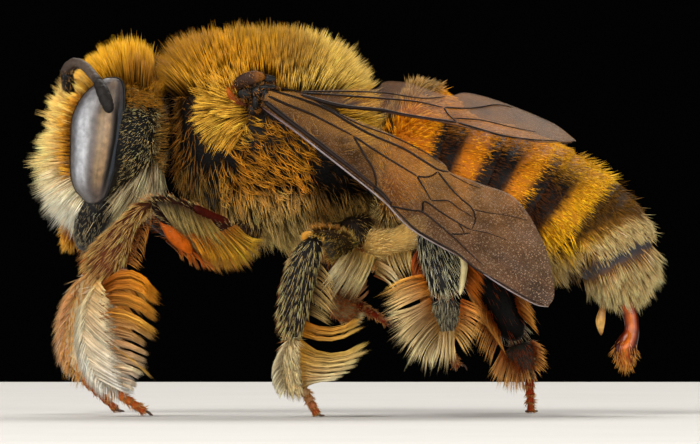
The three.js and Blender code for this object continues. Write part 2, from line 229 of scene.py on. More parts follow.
@dataclass
class Shell:
    """One closed skin of a form, and where each of its points lies on its unwrap."""

    points: Array
    triangles: Array
    share: Array
    turn: Array

    def normals(self) -> Array:
        """The outward normal at each point."""
        corners = self.points[self.triangles]
        across = np.cross(corners[:, 1] - corners[:, 0], corners[:, 2] - corners[:, 0])
        normals = np.zeros_like(self.points)
        for k in range(3):
            np.add.at(normals, self.triangles[:, k], across)
        return unit(normals)


class Form:
    """A mesh under construction in millimetre stations, made of closed shells."""

    def __init__(self) -> None:
        """Starts an empty mesh."""
        self.mesh = bmesh.new()
        self.tint = self.mesh.verts.layers.float_color.new("Tint")

    def sweep(self, segments: int, rings: int, place: Place, colour: Optional[Place] = None) -> Shell:
        """Adds a ball whose rings are moved to their places.

        Args:
            segments: How many points each ring has.
            rings: How many steps lead from pole to pole.
            place: Gives the points for shares from pole to pole and turns round the ring.
            colour: Gives the colours of the same points.

        Returns:
            The new shell.
        """
        made = bmesh.ops.create_uvsphere(self.mesh, u_segments=segments, v_segments=rings, radius=1.0)
        verts = made["verts"]
        number = {vert: k for k, vert in enumerate(verts)}
        ball = np.array([v.co for v in verts])
        share = np.arccos(np.clip(ball[:, 2], -1, 1)) / np.pi
        turn = np.arctan2(ball[:, 1], ball[:, 0]) % (2 * np.pi)
        points = place(share, turn)
        colours = None if colour is None else colour(points, share)
        for k, vert in enumerate(verts):
            vert.co = points[k]
            if colours is not None:
                vert[self.tint] = (*colours[k], 1.0)
        faces = list({face for vert in verts for face in vert.link_faces})
        self.mesh.normal_update()
        bmesh.ops.recalc_face_normals(self.mesh, faces=faces)
        triangles = []
        for face in faces:
            corners = [number[v] for v in face.verts]
            triangles += [(corners[0], corners[k], corners[k + 1]) for k in range(1, len(corners) - 1)]
        return Shell(points, np.array(sorted(triangles)), share, turn)

    def tube(
        self,
        line: Line,
        radius: Callable[[Array], Array],
        segments: int = 10,
        rings: int = 24,
        flat: float = 1.0,
        across: Triple = (0.0, 1.0, 0.0),
        colour: Optional[Place] = None,
    ) -> Shell:
        """Adds a round or flattened rod along a line, closed at both ends.

        Args:
            line: The rod's middle, read from 0 to 1.
            radius: Its half width at each share of the line.
            segments: How many points each ring has.
            rings: How many steps lead along it.
            flat: Its thickness as a share of its width.
            across: The way in which it is thin.
            colour: Gives the colours of its points.

        Returns:
            The new shell.
        """

        def place(share: Array, turn: Array) -> Array:
            """Sets the rings across the line.

            Args:
                share: Shares of the way from pole to pole.
                turn: Angles round it.

            Returns:
                The points.
            """
            along = line.heading(share)
            thin = unit(np.array(across) - along * (along @ np.array(across))[:, None])
            wide = np.cross(along, thin)
            size = (radius(share) * rounded(share, 14))[:, None]
            ring = wide * np.cos(turn)[:, None] + thin * (flat * np.sin(turn))[:, None]
            return line.at(share) + ring * size

        return self.sweep(segments, rings, place, colour)

    def finish(self, name: str, material: Material, slot: str, *nodes: str) -> None:
        """Makes the form a piece of the frame.

        Args:
            name: The piece's name.
            material: Its material.
            slot: Not used.
            nodes: The frame's nodes that it stands for.
        """
        for vert in self.mesh.verts:
            vert.co = (np.array(vert.co) + ORIGIN) * MM
        for face in self.mesh.faces:
            face.smooth = True
        data = bpy.data.meshes.new(name)
        self.mesh.to_mesh(data)
        self.mesh.free()
        enrol(name, data, material, nodes)


def enrol(
    name: str, data: bpy.types.Mesh, material: Material, nodes: Sequence[str]
) -> None:
    """Puts a finished mesh into the scene as a piece that rides on the body.

    Args:
        name: The piece's name.
        data: Its mesh, in metres in the frame.
        material: Its material.
        nodes: The frame's nodes that it stands for.
    """
    data.materials.append(material)
    piece = bpy.data.objects.new(name, data)
    bpy.context.scene.collection.objects.link(piece)
    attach(piece, BODY)
    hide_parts(*nodes)
    log.info("%s: %d faces", name, len(data.polygons))


# ---- Finishes ----


def dial(node: Node, **values: object) -> Node:
    """Sets named properties or inputs of a node.

    Args:
        node: The node.
        values: Properties, or inputs by name with spaces as underscores.

    Returns:
        The same node.
    """
    for key, value in values.items():
        if hasattr(node, key):
            setattr(node, key, value)
        else:
            node.inputs[key.replace("_", " ")].default_value = value
    return node


class Layout:
    """A node tree while it is being laid out."""

    def __init__(self, tree: NodeTree) -> None:
        """Keeps the tree."""
        self.tree = tree

    def node(self, kind: str, **values: object) -> Node:
        """Adds a shader node and sets its named properties or inputs."""
        return dial(self.tree.nodes.new(f"ShaderNode{kind}"), **values)

    def link(self, *pairs: tuple[Socket, Socket]) -> None:
        """Joins outputs to inputs."""
        for source, target in pairs:
            self.tree.links.new(source, target)


class Recipe(Layout):
    """A material's node tree, with one Principled shader in it."""

    def __init__(self, name: str) -> None:
        """Starts the material."""
        self.material = bpy.data.materials.new(name)
        self.material.use_nodes = True
        super().__init__(self.material.node_tree)
        self.shader = self.tree.nodes["Principled BSDF"]

    def pits(self, cells: Node, strength: float, depth: float) -> None:
        """Bumps the shader by a relief group.

        Args:
            cells: The group's node.
            strength: The bump's strength.
            depth: Its depth in millimetres.
        """
        bump = self.node("Bump", Strength=strength, Distance=depth * MM)
        self.link((cells.outputs["Height"], bump.inputs["Height"]))
        self.link((bump.outputs["Normal"], self.shader.inputs["Normal"]))


class Effects:
    """Node groups that several materials share."""

    def __init__(self) -> None:
        """Builds each group once."""
        self.mottle = self._mottle()
        self.relief = self._relief()

    @staticmethod
    def _start(name: str, inputs: dict[str, str], outputs: dict[str, str]) -> tuple:
        """Makes a group with named sockets.

        Args:
            name: The group's name.
            inputs: Its inputs, with the kind of each.
            outputs: Its outputs, likewise.

        Returns:
            Its layout, its input node and its output node.
        """
        group = bpy.data.node_groups.new(name, "ShaderNodeTree")
        for way, sockets in (("INPUT", inputs), ("OUTPUT", outputs)):
            for label, kind in sockets.items():
                group.interface.new_socket(label, in_out=way, socket_type=f"NodeSocket{kind}")
        return Layout(group), group.nodes.new("NodeGroupInput"), group.nodes.new("NodeGroupOutput")

    def _mottle(self) -> NodeTree:
        """Colour that varies in lightness in soft spots of one size."""
        group, start, end = self._start(
            "Mottle", {"Colour": "Color", "Scale": "Float", "Amount": "Float"}, {"Colour": "Color"}
        )
        noise = group.node("TexNoise", Detail=3.0)
        spread = group.node("MapRange", From_Min=0.3, From_Max=0.7)
        low = group.node("Math", operation="SUBTRACT", Value=1.0)
        high = group.node("Math", operation="ADD", Value=1.0)
        shade = group.node("VectorMath", operation="SCALE")
        group.link(
            (group.node("TexCoord").outputs["Object"], noise.inputs["Vector"]),
            (start.outputs["Scale"], noise.inputs["Scale"]),
            (noise.outputs["Fac"], spread.inputs["Value"]),
            (start.outputs["Amount"], low.inputs[1]),
            (start.outputs["Amount"], high.inputs[1]),
            (low.outputs[0], spread.inputs["To Min"]),
            (high.outputs[0], spread.inputs["To Max"]),
            (start.outputs["Colour"], shade.inputs[0]),
            (spread.outputs["Result"], shade.inputs["Scale"]),
            (shade.outputs["Vector"], end.inputs["Colour"]),
        )
        return group.tree

    def _relief(self) -> NodeTree:
        """Height of round pits or grains of one size, and a mask of their middles."""
        group, start, end = self._start("Relief", {"Scale": "Float"}, {"Height": "Float", "Mask": "Float"})
        cells = group.node("TexVoronoi")
        rise = group.node("MapRange", From_Max=0.6)
        pit = group.node("MapRange", From_Min=0.15, From_Max=0.4, To_Min=1.0, To_Max=0.0)
        group.link(
            (group.node("TexCoord").outputs["Object"], cells.inputs["Vector"]),
            (start.outputs["Scale"], cells.inputs["Scale"]),
            (cells.outputs["Distance"], rise.inputs["Value"]),
            (cells.outputs["Distance"], pit.inputs["Value"]),
            (rise.outputs["Result"], end.inputs["Height"]),
            (pit.outputs["Result"], end.inputs["Mask"]),
        )
        return group.tree


@dataclass(frozen=True)
class Finish:
    """Hair, skin or bare shell, mottled and with fine pits."""

    name: str
    roughness: float
    grain: float  # cells of the mottling in a metre
    amount: float = 0.25
    relief: float = 0.0
    pits: float = 12_000.0  # cells of the relief in a metre
    depth: float = 0.02
    coat: float = 0.0
    coat_roughness: float = 0.2
    specular: float = 0.12
    code: str = ""  # of the one colour; without it the colour rides on the mesh

    def material(self, effects: Effects) -> Material:
        """Lays out the material.

        Args:
            effects: The shared node groups.

        Returns:
            The material.
        """
        recipe = Recipe(self.name)
        mottle = recipe.node("Group", node_tree=effects.mottle, Scale=self.grain, Amount=self.amount)
        if self.code:
            dial(mottle, Colour=(*linear(self.code), 1.0))
        else:
            tint = recipe.node("Attribute", attribute_name="Tint")
            recipe.link((tint.outputs["Color"], mottle.inputs["Colour"]))
        recipe.link((mottle.outputs["Colour"], recipe.shader.inputs["Base Color"]))
        dial(
            recipe.shader,
            Roughness=self.roughness,
            Coat_Weight=self.coat,
            Coat_Roughness=self.coat_roughness,
            Specular_IOR_Level=self.specular,
        )
        if self.relief:
            cells = recipe.node("Group", node_tree=effects.relief, Scale=self.pits)
            recipe.pits(cells, self.relief, self.depth)
        return recipe.material


@dataclass(frozen=True)
class MembraneFinish:
    """Smoky clear wing skin, stippled with tiny hairs."""

    name: str = "wing_membrane"
    stipple: float = 16_000.0  # cells in a metre
    cloud: float = 1_600.0
    clouding: float = 0.5
    pale: Colour = (0.36, 0.24, 0.15)
    dots: float = 0.6  # how strong the pale dots are
    relief: float = 0.6
    depth: float = 0.012
    roughness: float = 0.45
    specular: float = 0.12

    def material(self, effects: Effects) -> Material:
        """Lays out the material.

        Args:
            effects: The shared node groups.

        Returns:
            The material.
        """
        recipe = Recipe(self.name)
        tint = recipe.node("Attribute", attribute_name="Tint")
        clouds = recipe.node("Group", node_tree=effects.mottle, Scale=self.cloud, Amount=self.clouding)
        stipple = recipe.node("Group", node_tree=effects.relief, Scale=self.stipple)
        faint = recipe.node("Math", operation="MULTIPLY")
        faint.inputs[1].default_value = self.dots
        dots = recipe.node("Mix", data_type="RGBA")
        dots.inputs["B"].default_value = (*self.pale, 1.0)
        recipe.link(
            (tint.outputs["Color"], clouds.inputs["Colour"]),
            (clouds.outputs["Colour"], dots.inputs["A"]),
            (stipple.outputs["Mask"], faint.inputs[0]),
            (faint.outputs["Value"], dots.inputs["Factor"]),
            (dots.outputs["Result"], recipe.shader.inputs["Base Color"]),
            (tint.outputs["Alpha"], recipe.shader.inputs["Alpha"]),
        )
        recipe.pits(stipple, self.relief, self.depth)
        dial(recipe.shader, Roughness=self.roughness, Specular_IOR_Level=self.specular)
        return recipe.material


FINISHES = {
    "skin": Finish("body_skin", 0.6, 4_000.0, 0.15, relief=0.6),
    "coat": Finish("hair", 0.42, 6_000.0, 0.12),
    "legs": Finish("leg_shell", 0.45, 5_000.0, relief=0.35, specular=0.06),
    "eye": Finish("facetted_eye", 0.36, 7_000.0, 0.3, 0.25, 30_000.0, coat=0.1, specular=0.4),
    "dark": Finish("dark_shell", 0.4, 5_000.0, 0.35, 0.3, 16_000.0, 0.015, 0.04, 0.08, code="0c0a09"),
    "amber": Finish("amber_shell", 0.3, 5_000.0, 0.35, 0.12, 16_000.0, 0.015, 0.3, 0.08, 0.05, "642804"),
    "horn": Finish("horn", 0.3, 5_000.0, 0.4, 0.15, coat=0.35, coat_roughness=0.1, specular=0.05),
    "membrane": MembraneFinish(),
    "vein": Finish("wing_vein", 0.45, 5_000.0, specular=0.1),
}


@dataclass(frozen=True)
class Palette:
    """Every material of the bee, built once."""

    skin: Material
    coat: Material
    legs: Material
    eye: Material
    dark: Material
    amber: Material
    horn: Material
    membrane: Material
    vein: Material

    @classmethod
    def mixed(cls) -> "Palette":
        """Builds the materials."""
        effects = Effects()
        return cls(**{key: finish.material(effects) for key, finish in FINISHES.items()})


# ---- Hair ----


@dataclass
class Spots:
    """Places on a skin, one row for each."""

    point: Array
    normal: Array
    share: Array
    turn: Array
    strip: Array
    along: Array

    @property
    def side(self) -> Array:
        """The sign of y at each place."""
        return np.where(self.point[:, 1] < 0, -1.0, 1.0)

    @property
    def out(self) -> Array:
        """The distance from the middle plane."""
        return np.abs(self.point[:, 1])


Where = Callable[[Spots], Array]


class Ground:
    """Skins that hair grows on, with an unwrap of one strip for each."""

    def __init__(self, *shells: Shell, along: Callable[[Array], Array] = np.copy) -> None:
        """Joins the shells into arrays of triangle corners.

        Args:
            shells: The skins.
            along: Turns shares from pole to pole into another measure that rules for hair can use.
        """
        self.along = along
        parts = []
        for strip, shell in enumerate(shells):
            normals = shell.normals()
            k = shell.triangles
            parts.append(
                (shell.points[k], normals[k], shell.share[k], shell.turn[k], np.full(len(k), float(strip)))
            )
        self.point, self.normal, self.share, self.turn, self.strip = map(np.concatenate, zip(*parts))
        self.strips = len(shells)
        across = np.cross(self.point[:, 1] - self.point[:, 0], self.point[:, 2] - self.point[:, 0])
        self.area = np.linalg.norm(across, axis=1) / 2

    def _read(self, k: Array, weight: Array) -> Spots:
        """Reads the skins inside chosen triangles.

        Args:
            k: The triangles.
            weight: The weight of each corner, one row for each triangle.

        Returns:
            The places.
        """
        step = (self.turn[k] - self.turn[k][:, :1] + np.pi) % (2 * np.pi) - np.pi
        share = (self.share[k] * weight).sum(1)
        return Spots(
            (self.point[k] * weight[..., None]).sum(1),
            unit((self.normal[k] * weight[..., None]).sum(1)),
            share,
            (self.turn[k][:, 0] + (step * weight).sum(1)) % (2 * np.pi),
            self.strip[k],
            self.along(share),
        )

    def spots(self, count: int, random: np.random.Generator, where: Optional[Where] = None) -> Spots:
        """Picks places at random, as dense as a rule says.

        Args:
            count: How many places.
            random: The source of chance.
            where: Gives the density at each place. Even if it is left out.

        Returns:
            The places.
        """
        weight = self.area.copy()
        if where is not None:
            middles = self._read(np.arange(len(weight)), np.full((len(weight), 3), 1 / 3))
            weight = weight * np.clip(where(middles), 0, None)
        ends = np.cumsum(weight)
        k = np.searchsorted(ends, random.random(count) * ends[-1]).clip(0, len(ends) - 1)
        a, b = random.random((2, count))
        fold = a + b > 1
        a, b = np.where(fold, 1 - a, a), np.where(fold, 1 - b, b)
        return self._read(k, np.stack([1 - a - b, a, b], axis=1))

    def unwrap(self, spots: Spots) -> Array:
        """The place of each spot on the unwrap, from 0 to 1 both ways."""
        across = (spots.strip + spots.turn / (2 * np.pi)) / self.strips
        return np.stack([across, spots.share], axis=1)


@dataclass(frozen=True)
class Hair:
    """How the hairs of one stretch of coat grow, in millimetres and shares of their length."""

    length: tuple[float, float] = (0.3, 0.5)
    # root colours are darker than tips: partly the hairs' own darker bases and partly painted shade deep in
    # the coat
    root: str = "8c5a14"
    tip: str = "d89a30"
    lie: Triple = (0.0, 0.0, 0.0)  # x, away from the middle plane, z
    stand: float = 1.0  # weight of the skin's normal beside the lie
    droop: Triple = (0.0, 0.0, 0.0)
    spread: float = 0.14
    width: float = 0.014
    rings: int = 2
    tuft: int = 10  # hairs that lean together
    pull: float = 0.35
    wave: float = 0.0
    vary: float = 0.0  # of the length from tuft to tuft
    fleck: float = 0.2


@dataclass(frozen=True)
class Zone:
    """A part of a skin between soft limits, in stations or shares."""

    x: tuple[float, float] = (-9.0, 99.0)
    z: tuple[float, float] = (-9.0, 99.0)
    out: tuple[float, float] = (-9.0, 99.0)
    along: tuple[float, float] = (-9.0, 9.0)
    up: tuple[float, float] = (-9.0, 9.0)
    slope: float = 0.0  # rise of the z limits for each millimetre back
    oval: tuple = ()  # x, z, half length and half height of the only part that counts
    soft: float = 0.2
    soft_share: float = 0.03

    def weight(self, spots: Spots) -> Array:
        """How much each spot belongs to the zone, from 0 to 1.

        Args:
            spots: Places on a skin.

        Returns:
            One share for each.
        """
        x, z = spots.point[:, 0], spots.point[:, 2]
        weight = np.ones(len(x))
        for value, (low, high), soft in (
            (x, self.x, self.soft),
            (z - self.slope * x, self.z, self.soft),
            (spots.out, self.out, self.soft),
            (spots.along, self.along, self.soft_share),
            (spots.normal[:, 2], self.up, 0.2),
        ):
            weight = weight * ramp(low - soft / 2, low + soft / 2, value)
            weight = weight * ramp(high + soft / 2, high - soft / 2, value)
        if self.oval:
            at_x, at_z, long, tall = self.oval
            weight = weight * ramp(1.25, 0.75, ((x - at_x) / long) ** 2 + ((z - at_z) / tall) ** 2)
        return weight


@dataclass(frozen=True)
class Stretch:
    """Hair of one kind, how much of it there is and where it grows."""

    count: int
    zone: Zone
    hair: Hair
    comb: tuple = ()  # rows of a station and the lie there
    comb_axis: int = 2  # 0 for stations along x, 2 for heights
    sizes: tuple = ()  # rows of a station and a factor on the length
    taper: float = 0.0  # how much shorter the hair is two millimetres out

    def lie(self, spots: Spots) -> Array:
        """The way the hair lies at each spot.

        Args:
            spots: Places on a skin.

        Returns:
            One vector for each.
        """
        rows = self.comb or ((0.0, self.hair.lie), (1.0, self.hair.lie))
        line = Line([row[1] for row in rows], [row[0] for row in rows])
        way = line.at(spots.point[:, self.comb_axis])
        outward = spots.side * np.clip(spots.out / 0.5, 0, 1)
        return way * np.stack([np.ones(len(way)), outward, np.ones(len(way))], axis=1)

    def size(self, spots: Spots) -> Array:
        """The factor on the length at each spot."""
        rows = np.array(self.sizes or ((0.0, 1.0), (1.0, 1.0)))
        factor = np.interp(spots.point[:, self.comb_axis], rows[:, 0], rows[:, 1])
        return factor * (1 - self.taper * (spots.out / 2) ** 2)


@dataclass
class Strands:
    """Hairs as arrays: their lines, widths, colours and places on the unwrap."""

    line: Array  # hairs, steps, xyz
    width: Array
    # root colours, darker than tips partly as painted shade deep in the coat
    root: Array
    tip: Array
    patch: Array


@dataclass
class Coat:
    """Hair that is grown in stretches and joined into meshes."""

    name: str
    slot: str
    nodes: Sequence[str]
    seed: int
    random: np.random.Generator = field(init=False)
    stretches: list[Strands] = field(default_factory=list)

    def __post_init__(self) -> None:
        """Seeds the coat's own source of chance."""
        self.random = np.random.default_rng(SEED + self.seed)

    def _light(self, fleck: float, group: Array, groups: int, group_fleck: float) -> Array:
        """Factors on the colours of hairs, by chance in each hair and in each group of them.

        Args:
            fleck: How much the hairs vary.
            group: The number of each hair's group.
            groups: How many groups there are.
            group_fleck: How much the groups vary.

        Returns:
            Factors on red, green and blue for each hair.
        """
        size = (len(group), 1)
        light, warm = (np.exp(self.random.normal(0, amount, size)) for amount in (fleck, fleck * 0.35))
        single = np.clip(light * np.hstack([np.ones_like(warm), warm, warm**1.8]), 0, 1)
        return single * np.exp(self.random.normal(0, group_fleck, (groups, 1)))[group]

    def grow(
        self,
        ground: Ground,
        hair: Hair,
        count: int,
        where: Optional[Where] = None,
        lie: Optional[Where] = None,
        size: Optional[Where] = None,
        dye: Optional[Callable[[Spots], tuple[Array, Array]]] = None,
    ) -> None:
        """Grows one stretch of hair on a skin.

        Args:
            ground: The skin.
            hair: How it grows.
            count: How many hairs.
            where: Their density over the skin.
            lie: The way they lie at each spot, in place of the hair's own.
            size: A factor on their length at each spot.
            dye: Their root and tip colours at each spot, in place of the hair's own.
        """
        spots = ground.spots(count, self.random, where)
        mirror = np.stack([np.ones(count), spots.side, np.ones(count)], axis=1)
        way = np.asarray(hair.lie) * mirror if lie is None else lie(spots)
        way = way - spots.normal * np.minimum((way * spots.normal).sum(1), 0)[:, None]
        first = unit(hair.stand * spots.normal + way + self.random.normal(0, hair.spread, (count, 3)))
        sunk = np.maximum(0.1 - (first * spots.normal).sum(1), 0)
        first = unit(first + spots.normal * sunk[:, None])
        leader = self._leaders(spots.point, hair.tuft)
        factor = 1 + hair.vary * self.random.normal(size=count)[leader]
        length = self.random.uniform(*hair.length, count) * np.clip(factor, 0.4, 1.6)
        if size is not None:
            length = length * size(spots)
        length = length[:, None]
        droop = np.asarray(hair.droop) * mirror * length
        ends = spots.point + first * length + droop
        gather = (ends[leader] - ends) * hair.pull
        steps = np.linspace(0, 1, hair.rings + 1)
        wobble = unit(np.cross(first, self.random.normal(size=(count, 3)))) * length * hair.wave
        phase = self.random.uniform(0, 2 * np.pi, (count, 1))
        start = spots.point - spots.normal * ROOT_DEPTH
        line = np.stack(
            [
                start + first * length * s + droop * s * s + gather * s**1.5
                + wobble * np.sin(phase + 5.0 * s) * s
                for s in steps
            ],
            axis=1,
        )
        tones = (linear(hair.root), linear(hair.tip)) if dye is None else dye(spots)
        light = self._light(hair.fleck, leader, count, hair.fleck * 0.7)
        width = hair.width * self.random.uniform(0.75, 1.25, count)
        root, tip = (np.clip(light * tone, 0, 1) for tone in tones)
        self.stretches.append(Strands(line, width, root, tip, ground.unwrap(spots)))

    @staticmethod
    def _leaders(points: Array, tuft: int) -> Array:
        """The number of the hair that each hair leans to.

        Args:
            points: The roots of the hairs.
            tuft: How many hairs lean together.

        Returns:
            One number for each hair.
        """
        leaders = max(1, len(points) // max(tuft, 1))
        tree = KDTree(leaders)
        for k in range(leaders):
            tree.insert(points[k], k)
        tree.balance()
        return np.array([tree.find(point)[1] for point in points])

    def fringe(self, fringe: "Fringe", roots: Array, middles: Array, tips: Array, wash: tuple = ()) -> None:
        """Grows a row of long hairs from a line of roots, through a line of middles, to a line of tips.

        Args:
            fringe: How many hairs, how they lie together and their colours.
            roots: Points along the line of roots.
            middles: Points half way along the hairs.
            tips: Points along the line of tips.
            wash: Root and tip colours that the fringe's own lean to.
        """
        count = fringe.count
        share = np.sort(self.random.random(count))
        number = np.clip((share * fringe.locks).astype(int), 0, fringe.locks - 1)
        reach = self.random.normal(0, 1.0, fringe.locks)[number]
        centre = (number + self.random.uniform(-0.1, 1.1, fringe.locks)[number]) / fringe.locks
        near = share + (centre - share) * fringe.pull * self.random.uniform(0.6, 1.2, fringe.locks)[number]
        start, mid, end = Line(roots).at(share), Line(middles).at(near), Line(tips).at(near)
        length = np.linalg.norm(end - start, axis=1, keepdims=True)
        stray = 1 + fringe.ragged * (0.6 * reach + self.random.normal(0, 0.8, count))[:, None]
        across = self.random.normal(0, fringe.depth * 0.5, (count, 1)) * [[0.0, 1.0, 0.0]]
        start = start + across * 0.5 + self.random.normal(0, 0.02, (count, 3))
        mid = mid + across + self.random.normal(0, 0.014, (count, 3)) * length
        end = mid + (end + across - mid) * stray + self.random.normal(0, 0.018, (count, 3)) * length
        steps = np.linspace(0, 1, fringe.rings + 1)
        line = [start * (1 - s) * (1 - 2 * s) + mid * 4 * s * (1 - s) + end * s * (2 * s - 1) for s in steps]
        light = self._light(fringe.fleck, number, fringe.locks, fringe.lock_fleck)
        colours = []
        for k in (0, 1):
            shade = mix(*(linear(tone[k]) for tone in fringe.tones), share)
            if wash:
                shade = mix(shade, linear(wash[k]), WASH)
            colours.append(np.clip(shade * light, 0, 1))
        width = fringe.width * self.random.uniform(0.75, 1.25, count)
        patch = np.stack([self.random.random(count), share], axis=1)
        self.stretches.append(Strands(np.stack(line, axis=1), width, *colours, patch))

    def build(self, material: Material) -> None:
        """Joins the stretches into pieces.

        Args:
            material: The hair's material.
        """
        batch: list[tuple] = []
        total, inside, number = 0, 0, 0
        for strands in self.stretches:
            rings = strands.line.shape[1] - 1
            each = 6 * (rings - 1) + 4
            limit = PIECE_TRIANGLES // each
            for k in range(0, len(strands.width), limit):
                made = self._solid(strands, slice(k, k + limit))
                size = len(made[1])
                if inside + size > PIECE_TRIANGLES:
                    number += 1
                    self._piece(batch, number, material)
                    batch, inside = [], 0
                batch.append(made)
                inside += size
                total += size
        self._piece(batch, number + 1, material)
        log.info("%s: %d triangles", self.name, total)

    def _solid(self, strands: Strands, part: slice) -> tuple[Array, Array, Array, Array]:
        """Turns hairs into three-sided spikes.

        Args:
            strands: The hairs.
            part: Which of them.

        Returns:
            Points, triangles, colours and places on the unwrap.
        """
        line, width = strands.line[part], strands.width[part]
        count, steps = line.shape[:2]
        rings = steps - 1
        along = unit(np.diff(line, axis=1, append=2 * line[:, -1:] - line[:, -2:-1]))
        reference = unit(self.random.normal(size=(count, 1, 3)))
        first = unit(np.cross(along, reference))
        second = np.cross(along, first)
        share = np.linspace(0, 1, steps)
        size = width[:, None] * (1 - HAIR_TAPER * share[None, :rings] ** 1.3)
        corners = []
        for turn in (0, 2 * np.pi / 3, 4 * np.pi / 3):
            offset = first[:, :rings] * np.cos(turn) + second[:, :rings] * np.sin(turn)
            corners.append(line[:, :rings] + offset * size[..., None])
        body = np.stack(corners, axis=2).reshape(count, rings * 3, 3)
        points = np.concatenate([body, line[:, -1:]], axis=1)
        faces = [(0, 2, 1)]
        for k in range(rings - 1):
            for i in range(3):
                j = (i + 1) % 3
                a, b, c, d = 3 * k + i, 3 * k + j, 3 * k + 3 + j, 3 * k + 3 + i
                faces += [(a, b, c), (a, c, d)]
        last = 3 * (rings - 1)
        faces += [(last + i, last + (i + 1) % 3, 3 * rings) for i in range(3)]
        per = 3 * rings + 1
        triangles = np.array(faces)[None] + (np.arange(count) * per)[:, None, None]
        reach = np.append(np.repeat(share[:rings], 3), 1.0)
        # from the root colour, partly painted shade deep in the coat, to the tip colour; the power keeps the
        # root tone over more of the hair
        colours = mix(strands.root[part][:, None], strands.tip[part][:, None], reach**1.35)
        spread = np.stack([np.append(np.tile([-0.5, 0.0, 0.5], rings), 0.0), reach - 0.5], axis=1)
        patches = strands.patch[part][:, None] + spread[None] * PATCH
        points[..., 2] = np.maximum(points[..., 2], FLOOR_GAP)
        return tuple(table.reshape(-1, table.shape[-1]) for table in (points, triangles, colours, patches))

    def _piece(self, batch: list[tuple], number: int, material: Material) -> None:
        """Makes one mesh of a batch of spikes.

        Args:
            batch: Points, triangles, colours and unwrap places, several times.
            number: The piece's number.
            material: The hair's material.
        """
        starts = np.cumsum([0] + [len(made[0]) for made in batch])
        points, triangles, colours, patches = (np.concatenate(tables) for tables in zip(*batch))
        triangles = triangles + np.repeat(starts[:-1], [len(made[1]) for made in batch])[:, None]
        name = f"{self.name}_{number}"
        data = bpy.data.meshes.new(name)
        data.vertices.add(len(points))
        data.vertices.foreach_set("co", ((points + ORIGIN) * MM).astype(np.float32).ravel())
        data.loops.add(triangles.size)
        data.loops.foreach_set("vertex_index", triangles.astype(np.int32).ravel())
        data.polygons.add(len(triangles))
        data.polygons.foreach_set("loop_start", np.arange(0, triangles.size, 3, dtype=np.int32))
        tint = data.attributes.new("Tint", "FLOAT_COLOR", "POINT")
        colours = np.column_stack([colours, np.ones(len(colours))])
        tint.data.foreach_set("color", colours.astype(np.float32).ravel())
        unwrap = data.uv_layers.new(name="OFBake")
        unwrap.data.foreach_set("uv", patches[triangles.ravel()].astype(np.float32).ravel())
        data.update()
        data.validate()
        data.polygons.foreach_set("use_smooth", np.ones(len(triangles), dtype=bool))
        enrol(name, data, material, self.nodes)


# ---- Body ----


@dataclass(frozen=True)
class Patch:
    """The colours of the coat round one place of the head or thorax."""

    at: Triple
    reach: float
    root: str
    tip: str


